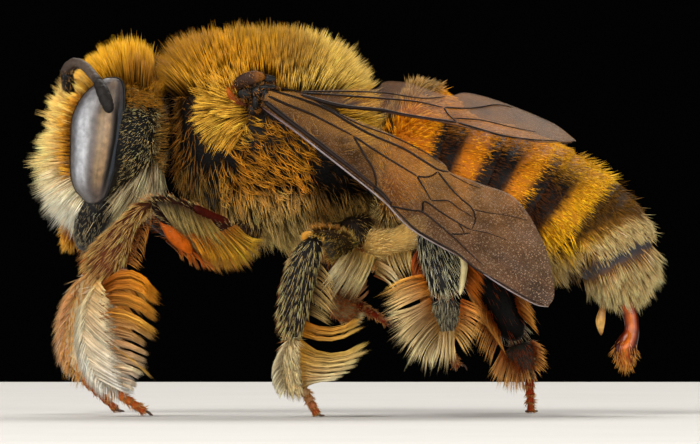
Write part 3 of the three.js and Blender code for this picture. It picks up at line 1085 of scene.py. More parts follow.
@dataclass(frozen=True)
class Markings:
    """Colours of skin and coat all over the body."""

    # root colours here and below are darker than tips: partly the hairs' own darker bases and partly painted
    # shade deep in the coat
    patches: tuple[Patch, ...] = (
        Patch((1.1, 0.8, 5.3), 0.85, "fcecbc", "fffce8"),  # lower face
        Patch((1.0, 0.8, 6.5), 0.7, "b46c0c", "f8dc88"),  # face
        Patch((1.1, 0.8, 7.6), 0.6, "a86c10", "f4cc70"),  # top of the face
        Patch((2.5, 0.5, 8.9), 0.8, "844c00", "e4a810"),  # crown
        Patch((2.9, 1.6, 8.1), 0.5, "1c0e02", "9c6410"),  # behind the top of the eye
        Patch((2.8, 2.1, 6.9), 0.7, "040302", "a48c5c"),  # cheek
        Patch((2.4, 1.6, 5.3), 0.7, "342818", "fff4dc"),  # beard
        Patch((3.3, 1.2, 6.1), 0.5, "3c2c1a", "dccaa8"),  # throat
        Patch((4.0, 0.6, 9.0), 0.8, "341c00", "98680a"),  # front of the back
        Patch((5.8, 0.3, 9.5), 0.8, "301c00", "ac7c14"),  # middle of the back
        Patch((6.7, 1.4, 8.8), 0.5, "3c2604", "a0701c"),
        Patch((5.0, 1.8, 8.6), 0.9, "381e00", "d08e0c"),  # edge of the back
        Patch((7.9, 0.8, 8.5), 1.0, "5c3c04", "e8c058"),  # rump of the thorax
        Patch((5.0, 2.3, 7.6), 0.6, "5c3400", "f0bc44"),  # tuft before the wing
        Patch((5.8, 2.5, 6.4), 0.9, "120700", "d88c1c"),  # flank
        Patch((3.9, 1.6, 7.1), 0.6, "0c0703", "8c5c18"),  # collar
        Patch((6.0, 1.8, 4.8), 0.8, "2c1c06", "ecc878"),  # breast
        Patch((8.0, 2.1, 5.6), 0.8, "060403", "80561c"),  # under the wing
    )
    # from, to and how much it widens to the top, as shares of the abdomen's axis
    dark_bands: tuple = ((0.178, 0.28, 0.0), (0.35, 0.462, 0.0), (0.525, 0.638, 0.0), (0.72, 0.765, 0.03))
    band_edge: float = 0.012
    band_lean: float = 0.022
    faint_top: tuple[float, float] = (0.7, 0.68)  # how faint the bands are along the top, and up to where
    faint_end: tuple[float, float] = (0.09, 0.7)  # how faint the last band is, and from where
    tail_from: float = 0.78
    # the bare ring before the last plate: middle and width, then its grey, which is partly the skin's own
    # dark tone and partly painted sheen
    grey_at: tuple[float, float] = (0.878, 0.03)
    grey: str = "34343a"
    # middle and width of the painted shade under the fifth plate
    hollow_at: tuple[float, float] = (0.83, 0.045)
    first: tuple[str, str] = ("4c3010", "b08848")
    orange: tuple[str, str] = ("d07402", "ffac0c")
    gold: tuple[str, str] = ("d08804", "ffcc24")
    brown: tuple[str, str] = ("0c0402", "5c300a")
    straw: tuple[str, str] = ("a06c30", "ffe8a4")
    belly: tuple[str, str] = ("5c4420", "e4c47c")

    def fore(self, point: Array) -> tuple[Array, Array]:
        """Root and tip colours of the coat of head and thorax at stations.

        Args:
            point: The stations.

        Returns:
            Both colours for each.
        """
        folded = np.column_stack([point[:, 0], np.abs(point[:, 1]), point[:, 2]])
        weights = []
        for patch in self.patches:
            gap = (folded - np.array(patch.at)) * [1.0, 0.6, 1.0]
            weights.append(np.exp(-(gap**2).sum(1) / patch.reach**2) + 1e-9)
        weight = np.array(weights) ** 1.5
        weight /= weight.sum(0)
        roots = np.array([linear(patch.root) for patch in self.patches])
        tips = np.array([linear(patch.tip) for patch in self.patches])
        return weight.T @ roots, weight.T @ tips

    def darkness(self, along: Array, turn: Array, jitter: Array) -> Array:
        """How dark the abdomen's coat is, from 0 to 1.

        Args:
            along: Share of the abdomen's axis.
            turn: Angle round it from the top.
            jitter: Random shifts along the axis.

        Returns:
            A share for each place.
        """
        place = along + jitter - self.band_lean * np.cos(turn)
        found = np.zeros_like(place)
        for low, high, widening in self.dark_bands:
            edge = self.band_edge
            wider = widening * np.cos(turn)
            begun = ramp(low - edge, low + edge, place + wider)
            found = np.maximum(found, begun * ramp(high + edge, high - edge, place - wider))
        top = ramp(0.35, 0.9, np.cos(turn))
        faint, until = self.faint_top
        end, start = self.faint_end
        return found * (1 - faint * top * (along < until)) * (1 - end * (along > start))

    def greyness(self, along: Array) -> Array:
        """How bare the ring before the last plate is, from 0 to 1; the skin there turns a grey that is
        partly its own dark tone and partly painted sheen.
        """
        middle, width = self.grey_at
        return np.exp(-(((along - middle) / width) ** 2))

    def hollow(self, along: Array, turn: Array) -> Array:
        """How much each place lies in the painted shade under the fifth plate, from 0 to 1."""
        middle, width = self.hollow_at
        return np.exp(-(((along - middle) / width) ** 2)) * ramp(0.1, -0.25, np.cos(turn))

    def aft(self, along: Array, turn: Array, jitter: Array) -> tuple[Array, Array]:
        """Root and tip colours of the abdomen's coat.

        Args:
            along: Share of the abdomen's axis.
            turn: Angle round it from the top.
            jitter: Random shifts along the axis.

        Returns:
            Both colours for each place.
        """
        dark = self.darkness(along, turn, jitter)
        tail_place = along + jitter - self.band_lean * np.cos(turn)
        tail = ramp(self.tail_from - 0.02, self.tail_from + 0.02, tail_place)
        under = ramp(-0.35, -0.8, np.cos(turn)) * (1 - tail)
        # painted shade: the coat turns dark brown under the fifth plate
        dark = np.maximum(dark, 0.9 * self.hollow(along, turn))
        gold = ramp(0.4, 0.7, along)
        first = ramp(0.18, 0.13, along) * ramp(0.5, 0.85, np.cos(turn))
        found = []
        for k in (0, 1):
            shade = mix(linear(self.orange[k]), linear(self.gold[k]), gold)
            shade = mix(shade, linear(self.first[k]), first)
            shade = mix(shade, linear(self.straw[k]), tail)
            shade = mix(shade, linear(self.belly[k]), under)
            found.append(mix(shade, linear(self.brown[k]), dark))
        return found[0], found[1]


HEAD_HAIR = (
    Stretch(4600, Zone(x=(0.9, 1.6), z=(5.8, 8.15), out=(-1.0, 1.9)),  # face
        Hair((0.76, 1.1), stand=0.25, spread=0.12, width=0.0124, tuft=9, pull=0.55, vary=0.2, fleck=0.34),
        comb=((5.8, (-0.7, 0.05, -0.75)), (6.2, (-0.95, 0.08, -0.4)), (6.6, (-1.0, 0.08, -0.12)),
        (7.1, (-1.0, 0.08, 0.2)), (7.6, (-0.9, 0.05, 0.5)), (8.1, (-0.7, 0.05, 0.8))),
        sizes=((5.8, 0.92), (6.1, 0.95), (6.6, 0.84), (7.05, 0.63), (7.5, 0.6), (7.9, 0.56), (8.2, 0.46)),
        taper=0.2),
    Stretch(2000, Zone(x=(0.9, 1.6), z=(5.1, 5.85), out=(-1.0, 1.8)),  # bottom of the face
        Hair((0.62, 0.9), stand=0.2, spread=0.08, width=0.013, tuft=6, pull=0.42, vary=0.14, fleck=0.25),
        comb=((5.0, (-0.1, 0.0, -1.1)), (5.4, (-0.4, 0.03, -0.9)), (5.8, (-0.8, 0.05, -0.7))), taper=0.2),
    # gold roots beside the eye
    Stretch(1500, Zone(x=(0.95, 1.5), z=(5.9, 8.2), out=(1.4, 2.3)), Hair((0.3, 0.52), "904c04", "f0b038",
        (-1.0, 0.1, 0.15), 0.22, spread=0.13, width=0.0115, tuft=4, fleck=0.3)),
    Stretch(700, Zone(x=(1.3, 1.8), z=(7.95, 8.6), out=(-1.0, 1.6)),  # brow
        Hair((0.34, 0.48), "8c4c04", "f4bc48", (-0.9, 0.1, 0.6), 0.3, width=0.0125, tuft=5, pull=0.4)),
    Stretch(3100, Zone(x=(1.75, 3.05), z=(8.0, 9.0), out=(-1.0, 1.6)),  # crown
        Hair((0.72, 0.94), stand=0.3, spread=0.08, width=0.0138, tuft=5, pull=0.35, vary=0.1, fleck=0.25),
        comb=((1.8, (-1.0, 0.05, 0.6)), (2.1, (-0.6, 0.05, 0.8)), (2.4, (-0.3, 0.05, 0.95)),
        (2.8, (-0.08, 0.05, 1.0)), (3.3, (0.05, 0.05, 1.0))), comb_axis=0,
        sizes=((1.75, 0.64), (2.1, 0.78), (2.4, 0.92), (2.9, 1.0), (3.1, 0.75))),
    Stretch(700, Zone(x=(3.05, 3.45), z=(7.9, 9.0)),  # nape
        Hair((0.3, 0.5), "3c2206", "c8881c", lie=(0.15, 0.0, 0.7), stand=0.6, width=0.013, vary=0.15)),
    # behind the top of the eye
    Stretch(2200, Zone(x=(2.1, 3.35), z=(7.75, 8.5), out=(1.2, 9.0)), Hair((0.2, 0.3), "1c0e02", "a87018",
        lie=(0.6, 0.15, -0.3), stand=0.3, spread=0.2, tuft=3, width=0.0105, fleck=0.4)),
    # back edge of the cheek
    Stretch(520, Zone(x=(3.12, 3.5), z=(5.7, 7.9), out=(0.8, 9.0)), Hair((0.24, 0.42), "1c1004", "a87830",
        (0.5, 0.3, 0.15), 0.5, spread=0.25, width=0.01, tuft=4, fleck=0.4)),
    # cheek
    Stretch(3900, Zone(x=(2.1, 3.4), z=(3.7, 7.8), out=(1.2, 9.0), slope=0.85), Hair((0.14, 0.22), "14100a",
        "d0b87c", (-0.9, 0.0, -0.45), 0.18, spread=0.2, width=0.0088, tuft=3, pull=0.25, fleck=0.5)),
    # beard
    Stretch(2500, Zone(x=(1.85, 3.6), z=(-9.0, 3.7), slope=0.85), Hair((0.6, 0.95), "3c2814", "fce4b0",
        (-0.75, 0.05, -0.75), 0.3, droop=(-0.1, 0.0, -0.1), width=0.0128, rings=3, tuft=6, pull=0.45,
        vary=0.15, fleck=0.32)),
    Stretch(600, Zone(x=(1.0, 2.3), z=(4.9, 5.6), out=(1.2, 9.0)),  # below the eye
        Hair((0.12, 0.2), "1c150c", "b8a880", (-0.3, 0.0, -0.8), 0.3, width=0.009, fleck=0.4)),
)
THORAX_HAIR = (
    Stretch(10_500, Zone(x=(3.65, 8.5), z=(7.95, 9.9), soft=0.3),  # back
        Hair((0.58, 0.76), spread=0.1, width=0.0142, tuft=5, pull=0.36, vary=0.1, fleck=0.26),
        comb=((3.8, (-0.5, 0.1, 0.9)), (5.0, (-0.12, 0.1, 0.35)), (6.5, (0.05, 0.1, 0.3)),
        (8.2, (0.5, 0.1, 0.4))), comb_axis=0, sizes=((3.8, 1.32), (4.2, 1.22), (4.8, 1.0), (8.5, 1.0))),
    # rump over the waist
    Stretch(800, Zone(x=(7.7, 8.62), z=(6.6, 8.1)), Hair((0.5, 0.8), "7c5008", "f0b838", (0.9, 0.1, 0.25),
        0.4, spread=0.2, width=0.0145, tuft=6, pull=0.45)),
    # tuft before the wing
    Stretch(1700, Zone(out=(1.2, 9.0), oval=(5.1, 7.65, 0.55, 0.62)), Hair((0.5, 0.78), stand=0.4,
        spread=0.12, width=0.0148, rings=3, tuft=7, pull=0.5, vary=0.12, fleck=0.26),
        comb=((7.1, (-0.4, 0.2, -1.0)), (7.5, (-0.9, 0.2, -0.5)), (7.8, (-1.0, 0.2, 0.0)),
        (8.2, (-0.8, 0.2, 0.5)))),
    # curly flank
    Stretch(1600, Zone(x=(4.85, 7.1), z=(5.5, 7.5), out=(1.0, 9.0)), Hair((0.38, 0.6), stand=0.4, spread=0.3,
        width=0.017, rings=4, tuft=6, pull=0.65, wave=0.2, vary=0.15, droop=(0.35, 0.0, 0.12), fleck=0.35),
        comb=((4.8, (0.1, 0.0, -1.0)), (5.5, (0.6, 0.0, -0.7)), (6.2, (0.3, 0.0, -0.9)),
        (7.1, (0.1, 0.0, -1.0))), comb_axis=0),
    # collar
    Stretch(620, Zone(x=(3.62, 4.6), z=(5.9, 8.1)), Hair((0.35, 0.55), "0c0602", "a06820", (0.1, 0.1, -0.5),
        0.4, spread=0.3, width=0.0125, tuft=5, fleck=0.35)),
    # below the collar
    Stretch(420, Zone(x=(3.8, 5.1), z=(4.9, 6.3)), Hair((0.35, 0.65), "0c0602", "b88c40", (0.25, 0.1, -1.0),
        0.4, spread=0.25, width=0.013, tuft=6, pull=0.5)),
    # breast
    Stretch(2300, Zone(x=(4.8, 7.3), z=(4.0, 5.75)), Hair((0.55, 0.9), lie=(0.1, 0.1, -1.0), stand=0.3,
        spread=0.15, width=0.014, rings=3, tuft=8, pull=0.55, wave=0.06, vary=0.15, droop=(0.15, 0.0, 0.0),
        fleck=0.28)),
    Stretch(620, Zone(x=(6.8, 8.6), z=(5.0, 7.3)),  # under the wing
        Hair((0.3, 0.5), "060302", "80541c", (0.5, 0.1, -0.3), 0.5, spread=0.3, width=0.012, fleck=0.35)),
    # over the hips
    Stretch(1300, Zone(x=(6.9, 8.7), z=(4.5, 5.6)), Hair((0.4, 0.7), "140c04", "b88c44", (0.2, 0.25, -0.8),
        0.4, spread=0.22, width=0.0128, tuft=6, pull=0.5, fleck=0.35)),
    # near-black short hair round the wing's scale, partly its black fringe and partly painted shadow
    Stretch(560, Zone(out=(1.4, 9.0), oval=(5.75, 8.1, 0.85, 0.66)),  # round the wing's scale
        Hair((0.15, 0.28), "040302", "3c240c", (0.0, 0.1, 0.3), 0.8, spread=0.35, width=0.0115, fleck=0.5)),
)
ABDOMEN_HAIR = (
    # front slope of the first plate
    Stretch(900, Zone(x=(8.66, 9.6), along=(-0.97, 0.045)), Hair((0.2, 0.36), lie=(0.0, 0.0, 0.9), stand=0.7,
        spread=0.16, width=0.0125, tuft=4, vary=0.12, fleck=0.3)),
    Stretch(2800, Zone(along=(0.03, 0.15)),  # first plate
        Hair((0.26, 0.4), stand=0.6, spread=0.14, width=0.012, tuft=4, pull=0.3, vary=0.12, fleck=0.3)),
    Stretch(23_500, Zone(along=(0.15, 0.88)),  # other plates
        Hair((0.17, 0.26), stand=0.24, spread=0.1, width=0.0125, tuft=3, pull=0.25, vary=0.1, fleck=0.24)),
    Stretch(2100, Zone(along=(0.765, 0.85)),  # fringe of the fifth plate
        Hair((0.26, 0.42), stand=0.22, spread=0.1, width=0.0108, tuft=5, pull=0.4, vary=0.15, fleck=0.38)),
    Stretch(3300, Zone(along=(0.88, 2.0)),  # tail
        Hair((0.34, 0.52), stand=0.34, spread=0.12, width=0.011, tuft=6, pull=0.42, vary=0.18, fleck=0.38)),
    Stretch(320, Zone(along=(0.6, 0.95), up=(0.1, 2.0)),  # standing hairs on the last plates
        Hair((0.3, 0.44), "3c2408", "c8a45c", stand=1.0, spread=0.2, width=0.0085, tuft=1)),
    # belly fringe
    Stretch(1800, Zone(along=(0.15, 0.8), up=(-2.0, -0.1)), Hair((0.4, 0.65), lie=(0.2, 0.0, -0.6),
        stand=0.5, spread=0.18, width=0.0138, tuft=8, pull=0.5, vary=0.2)),
)


@dataclass
class Body:
    """The skin of head, thorax and abdomen in one piece, and the coat on it."""

    palette: Palette
    markings: Markings = Markings()
    # x, top, bottom, half width
    head: tuple = (
        (1.05, 7.5, 5.9, 1.2), (1.12, 7.9, 5.45, 1.65), (1.25, 8.15, 5.15, 1.95), (1.5, 8.4, 4.95, 2.2),
        (1.8, 8.58, 4.9, 2.32), (2.2, 8.68, 5.0, 2.36), (2.6, 8.65, 5.15, 2.3), (3.0, 8.45, 5.5, 2.1),
        (3.2, 8.2, 5.85, 1.85), (3.3, 7.8, 6.3, 1.4), (3.38, 7.45, 6.45, 0.75), (3.6, 7.3, 6.5, 0.55),
    )
    thorax: tuple = (
        (3.8, 7.6, 6.2, 0.8), (3.86, 8.3, 5.9, 1.5), (4.0, 8.65, 5.6, 1.8), (4.4, 8.93, 5.25, 2.1),
        (5.2, 9.1, 4.9, 2.38), (6.0, 9.15, 4.75, 2.5), (6.8, 9.08, 4.7, 2.5), (7.4, 8.88, 4.8, 2.4),
        (7.8, 8.58, 4.95, 2.2), (8.05, 8.15, 5.1, 1.9), (8.3, 7.7, 5.3, 1.5), (8.4, 7.2, 5.6, 1.0),
        (8.5, 6.9, 6.0, 0.6), (8.62, 6.8, 6.05, 0.45),
    )
    front_pole: tuple = (1.02, 6.7, 6.7, 0.0)
    # x, z of the axis, depth above, depth below, half width
    abdomen: tuple = (
        (8.62, 6.7, 1.1, 1.4, 1.5), (9.1, 6.6, 1.85, 2.25, 2.3), (10.78, 6.13, 1.66, 2.4, 2.75),
        (12.38, 5.43, 1.88, 2.0, 2.75), (13.43, 4.73, 1.93, 1.55, 2.5), (14.13, 4.03, 1.86, 1.05, 2.1),
        (14.5, 3.28, 1.47, 0.6, 1.5), (14.62, 2.85, 0.95, 0.3, 0.8),
    )
    abdomen_coat: float = 0.27
    plate_ends: tuple = (0.0, 0.225, 0.404, 0.58, 0.748, 0.87, 1.0)
    plate_steps: tuple = (0.02, 0.3, 0.6, 0.9, 0.985)
    plate_rise: float = 0.03
    rings_per_row: int = 4
    segments: int = 96
    skin_share: tuple[float, float] = (0.16, 0.5)  # of the coat's root colours, before and on the abdomen
    # share of the hair that the dark bands, the last one's top, the grey ring, the painted shade under the
    # fifth plate and the tail lack
    thin: tuple = (0.3, 0.4, 0.95, 0.8, 0.38)
    tail_shorter: float = 0.35  # hair at the tail's lower end
    eye: tuple = (1.77, 2.02, 6.85, 0.74, 0.75, 1.68)  # middle and half sizes of the hairless part
    wing_root: tuple = (5.85, 8.0, 0.4, 0.34)  # side station and half sizes of the bare part

    def __post_init__(self) -> None:
        """Lays out the rows of rings: middle x and z, the way up, depth above and below, and half width."""
        rows, along = [], []
        for x, top, bottom, half in (self.front_pole, *self.head, *self.thorax):
            middle = (top + bottom) / 2
            rows.append((x, middle, 0.0, 1.0, top - middle, middle - bottom, half))
            along.append(-1.0)
        stations = np.array(self.abdomen)
        lengths = np.append(0, np.cumsum(np.linalg.norm(np.diff(stations[:, :2], axis=0), axis=1)))
        self.axis = Line(stations, lengths / lengths[-1])
        ends = self.plate_ends
        for k, (start, end) in enumerate(zip(ends[:-1], ends[1:])):
            for f in self.plate_steps:
                share = start + (end - start) * f
                if share < 0.03:
                    continue
                x, z, above, below, half = self.axis.at(share)
                heading = self.heading(np.array([share]))[0]
                lift = 1 + self.plate_rise * (f - 1)
                depth = self.abdomen_coat * (1 + 0.1 * (k == len(ends) - 2) * f)
                sizes = [max(size * lift - depth, 0.05) for size in (above, below, half)]
                rows.append((x, z, -heading[2], heading[0], *sizes))
                along.append(share)
        x, z = self.axis.at(1.0)[:2]
        rows.append((x - 0.02, z + 0.15, *rows[-1][2:4], 0.0, 0.0, 0.0))
        along.append(1.0)
        self.rows = Line(rows)
        self.row_along = np.array(along)

    def heading(self, along: Array) -> Array:
        """The abdomen axis's direction at shares of it."""
        step = self.axis.heading(along)
        return unit(np.stack([step[:, 0], np.zeros(len(step)), step[:, 1]], axis=1))

    def along(self, share: Array) -> Array:
        """The share of the abdomen's axis at shares of the whole body, or less than 0 before it."""
        return np.interp(share, np.linspace(0, 1, len(self.row_along)), self.row_along)

    def _place(self, share: Array, turn: Array) -> Array:
        """Places the skin's points.

        Args:
            share: Shares of the way from face to tail.
            turn: Angles from the top.

        Returns:
            The points.
        """
        x, z, up_x, up_z, above, below, half = self.rows.at(share).T
        rise = np.cos(turn)
        depth = rise * np.where(rise > 0, above, below)
        size = np.hypot(up_x, up_z)
        return np.stack([x + depth * up_x / size, half * np.sin(turn), z + depth * up_z / size], axis=1)

    def _colour(self, points: Array, share: Array) -> Array:
        """Darkened coat colours for the skin, with painted shade under the fifth plate and a grey on the
        bare ring that is partly painted sheen.

        Args:
            points: The skin's points.
            share: Their shares of the way from face to tail.

        Returns:
            One colour for each.
        """
        along = self.along(share)
        x, z, up_x, up_z = self.rows.at(share)[:, :4].T
        rise = (points[:, 0] - x) * up_x + (points[:, 2] - z) * up_z
        turn = np.arctan2(np.abs(points[:, 1]), rise)
        fore_share, aft_share = self.skin_share
        fore = self.markings.fore(points)[0] * fore_share
        # the abdomen's colours carry the painted shade under the fifth plate
        aft = self.markings.aft(np.clip(along, 0, 1), turn, np.zeros(len(points)))[0] * aft_share
        # grey on the bare ring, partly painted sheen
        aft = mix(aft, linear(self.markings.grey), self.markings.greyness(along))
        return np.where((along > 0.01)[:, None], aft, fore)

    def build(self) -> None:
        """Builds the skin and its coat."""
        form = Form()
        rings = self.rings_per_row * (len(self.row_along) - 1)
        shell = form.sweep(self.segments, rings, self._place, self._colour)
        plates = [f"abdomen_segment_{k}" for k in range(1, 7)]
        form.finish("body_skin", self.palette.skin, "cuticle", "head", "neck", "thorax", "waist", *plates)
        ground = Ground(shell, along=self.along)
        self._fore_coat(ground, "head", ["head", "neck"], HEAD_HAIR)
        self._fore_coat(ground, "thorax", ["thorax"], THORAX_HAIR)
        coat = Coat("coat_abdomen", "banded_coat", plates, SEEDS["abdomen"])

        def dye(s: Spots) -> tuple[Array, Array]:
            """The bands, with ragged edges."""
            return self.markings.aft(s.along, s.turn, coat.random.normal(0, 0.007, len(s.turn)))

        for stretch in ABDOMEN_HAIR:
            coat.grow(
                ground,
                stretch.hair,
                stretch.count,
                lambda s: stretch.zone.weight(s) * self._cover(s),
                lambda s: self.heading(np.clip(s.along, 0.02, 0.98)) + stretch.lie(s),
                lambda s: 1 - self.tail_shorter * ramp(0.93, 1.0, s.along) * ramp(0.3, -0.5, np.cos(s.turn)),
                dye,
            )
        coat.build(self.palette.coat)

    def _cover(self, spots: Spots) -> Array:
        """How much of the abdomen's skin the coat hides: less on the dark bands and the grey plate.

        Args:
            spots: Places on a skin.

        Returns:
            One share for each.
        """
        dark = self.markings.darkness(spots.along, spots.turn, np.zeros(len(spots.turn)))
        top = ramp(0.1, 0.5, np.cos(spots.turn))
        bare = self.markings.greyness(spots.along)
        # less hair in the painted shade under the fifth plate, so the dark skin shows
        hollow = self.markings.hollow(spots.along, spots.turn)
        dark_thin, top_thin, bare_thin, painted_shade_thin, tail_thin = self.thin
        bands = 1 - dark_thin * dark - top_thin * dark * top * (spots.along > self.markings.faint_end[1])
        tail = 1 - tail_thin * ramp(0.78, 0.8, spots.along)
        return bands * (1 - bare_thin * bare) * (1 - painted_shade_thin * hollow) * tail

    def _fore_coat(
        self, ground: Ground, name: str, nodes: Sequence[str], stretches: Sequence[Stretch]
    ) -> None:
        """Grows the coat of the head or the thorax.

        Args:
            ground: The body's skin.
            name: What the pieces are called.
            nodes: The nodes that they stand for.
            stretches: The stretches of hair.
        """
        coat = Coat(f"coat_{name}", "golden_coat", nodes, SEEDS[name])
        head = name == "head"
        for stretch in stretches:
            own = stretch.hair.root != Hair.root
            coat.grow(
                ground,
                stretch.hair,
                stretch.count,
                lambda s: stretch.zone.weight(s) * self._bare(s) * ((s.point[:, 0] < NECK_STATION) == head),
                stretch.lie,
                stretch.size,
                None if own else lambda s: self.markings.fore(s.point),
            )
        coat.build(self.palette.coat)

    def _bare(self, spots: Spots) -> Array:
        """Nothing in the eyes, round the wing roots and on the abdomen, and one elsewhere.

        Args:
            spots: Places on a skin.

        Returns:
            0 or 1 for each.
        """
        x, z = spots.point[:, 0], spots.point[:, 2]
        at = np.stack([x, spots.out, z], axis=1)
        eye = (((at - self.eye[:3]) / self.eye[3:]) ** 2).sum(1) < 1
        root_x, root_z, long, tall = self.wing_root
        wing = (((x - root_x) / long) ** 2 + ((z - root_z) / tall) ** 2 < 1) * (spots.out > 1.6)
        return ~(eye | wing | (spots.along > 0)) * 1.0


# ---- Eyes, feelers and mouth ----


@dataclass
class Eye:
    """One large facetted eye with the raised rim that it sits in."""

    palette: Palette
    side: Side
    out: float = 2.02
    bulge: float = 0.68
    # height, front edge, back edge, from the lower tip up
    outline: tuple = (
        (5.275, 1.70, 1.70), (5.31, 1.52, 1.86), (5.425, 1.4, 1.975), (5.625, 1.225, 2.06),
        (5.925, 1.125, 2.15), (6.25, 1.10, 2.24), (6.625, 1.107, 2.32), (6.875, 1.11, 2.375),
        (7.25, 1.125, 2.42), (7.5, 1.175, 2.43), (7.775, 1.3, 2.45), (8.0, 1.45, 2.45), (8.175, 1.64, 2.44),
        (8.3, 1.8, 2.4), (8.39, 1.95, 2.3), (8.41, 2.12, 2.12),
    )
    rim: tuple[float, float] = (0.01, 0.03)  # radius in front and behind
    rim_out: float = 0.2  # share of the bulge
    # share of the way from front edge to back edge, colour
    bands: tuple = (
        # the pale silver round 0.16 to 0.3 is partly the eye's own silver-grey and partly a painted
        # reflection of a soft box
        (0.0, "1c1a1a"), (0.03, "444242"), (0.09, "58585c"), (0.16, "88898d"), (0.3, "8e8f92"),
        (0.37, "6c6a6a"), (0.42, "4c4644"), (0.49, "4e4038"), (0.54, "62503a"), (0.59, "766042"),
        (0.63, "6e583c"), (0.68, "84694a"), (0.75, "806648"), (0.79, "54463a"), (0.82, "302a26"),
        # the blue-grey from 0.91 to 0.98 is a painted reflection along the eye's back edge
        (0.85, "0c0b0b"), (0.885, "0c0b0b"), (0.91, "3a4048"), (0.98, "343a42"), (1.0, "141414"),
    )
    mauve: str = "4a4240"  # at both tips
    mauve_tips: tuple = ((0.6, 7.3, 8.2), (0.75, 6.05, 5.45))  # how much of it, and between which heights

    def build(self) -> None:
        """Builds the eye and its rim."""
        edges = Line(self.outline)
        low, high = self.outline[0][0], self.outline[-1][0]

        def place(share: Array, turn: Array) -> Array:
            """Sets level rings between both edges.

            Args:
                share: Shares of the way from pole to pole.
                turn: Angles round it.

            Returns:
                The points.
            """
            z, front, back = edges.at(1 - share).T
            tall = (2 * z - low - high) / (high - low)
            deep = self.bulge * np.clip(1 - tall**2, 0, 1) ** 0.45
            x = (front + back) / 2 + (back - front) / 2 * np.cos(turn)
            return np.stack([x, (self.out + deep * np.sin(turn)) * self.side.value, z], axis=1)

        def colour(points: Array, share: Array) -> Array:
            """Bands that follow the eye's edges, among them painted reflections."""
            z, front, back = edges.at(1 - share).T
            shade = shades(self.bands, (points[:, 0] - front) / np.maximum(back - front, 1e-6))
            ends = sum(weight * ramp(start, end, z) for weight, start, end in self.mauve_tips)
            return mix(shade * (1 - 0.45 * ends)[:, None], linear(self.mauve), ends)

        label = self.side.label
        form = Form()
        form.sweep(72, 52, place, colour)
        form.finish(f"eye_{label}", self.palette.eye, "eye", f"eye_{label}")
        rows = np.array(self.outline)
        behind, before = rows[:, [2, 0]], rows[::-1, [1, 0]]
        ring = np.vstack([behind, before[1:-1]])
        y = np.full(len(ring), (self.out + self.rim_out * self.bulge) * self.side.value)
        path = Line(np.stack([ring[:, 0], y, ring[:, 1]], axis=1))
        rim = Form()
        thin, thick = self.rim
        rim.tube(path, lambda s: thin + (thick - thin) * ramp(0.55, 0.42, s), 10, 140)
        rim.finish(f"eye_rim_{label}", self.palette.dark, "cuticle", f"eye_{label}")


def ball(middle: Sequence[float], semi: Sequence[float]) -> Place:
    """A rule that places the points of an egg with its middle and half sizes.

    Args:
        middle: The middle.
        semi: The half sizes.

    Returns:
        The rule.
    """

    def place(share: Array, turn: Array) -> Array:
        """Places the egg."""
        ring = np.sin(np.pi * share)
        points = np.stack([ring * np.cos(turn), ring * np.sin(turn), np.cos(np.pi * share)], axis=1)
        return np.array(middle) + points * np.array(semi)

    return place


@dataclass
class Ocelli:
    """Three small simple eyes on the crown."""

    palette: Palette
    places: tuple = ((2.05, 0.0, 8.66), (2.35, 0.32, 8.64), (2.35, -0.32, 8.64))
    radius: float = 0.13

    def build(self) -> None:
        """Builds the three domes."""
        form = Form()
        for middle in self.places:
            form.sweep(16, 10, ball(middle, [self.radius] * 3))
        form.finish("ocelli", self.palette.dark, "cuticle", "head")


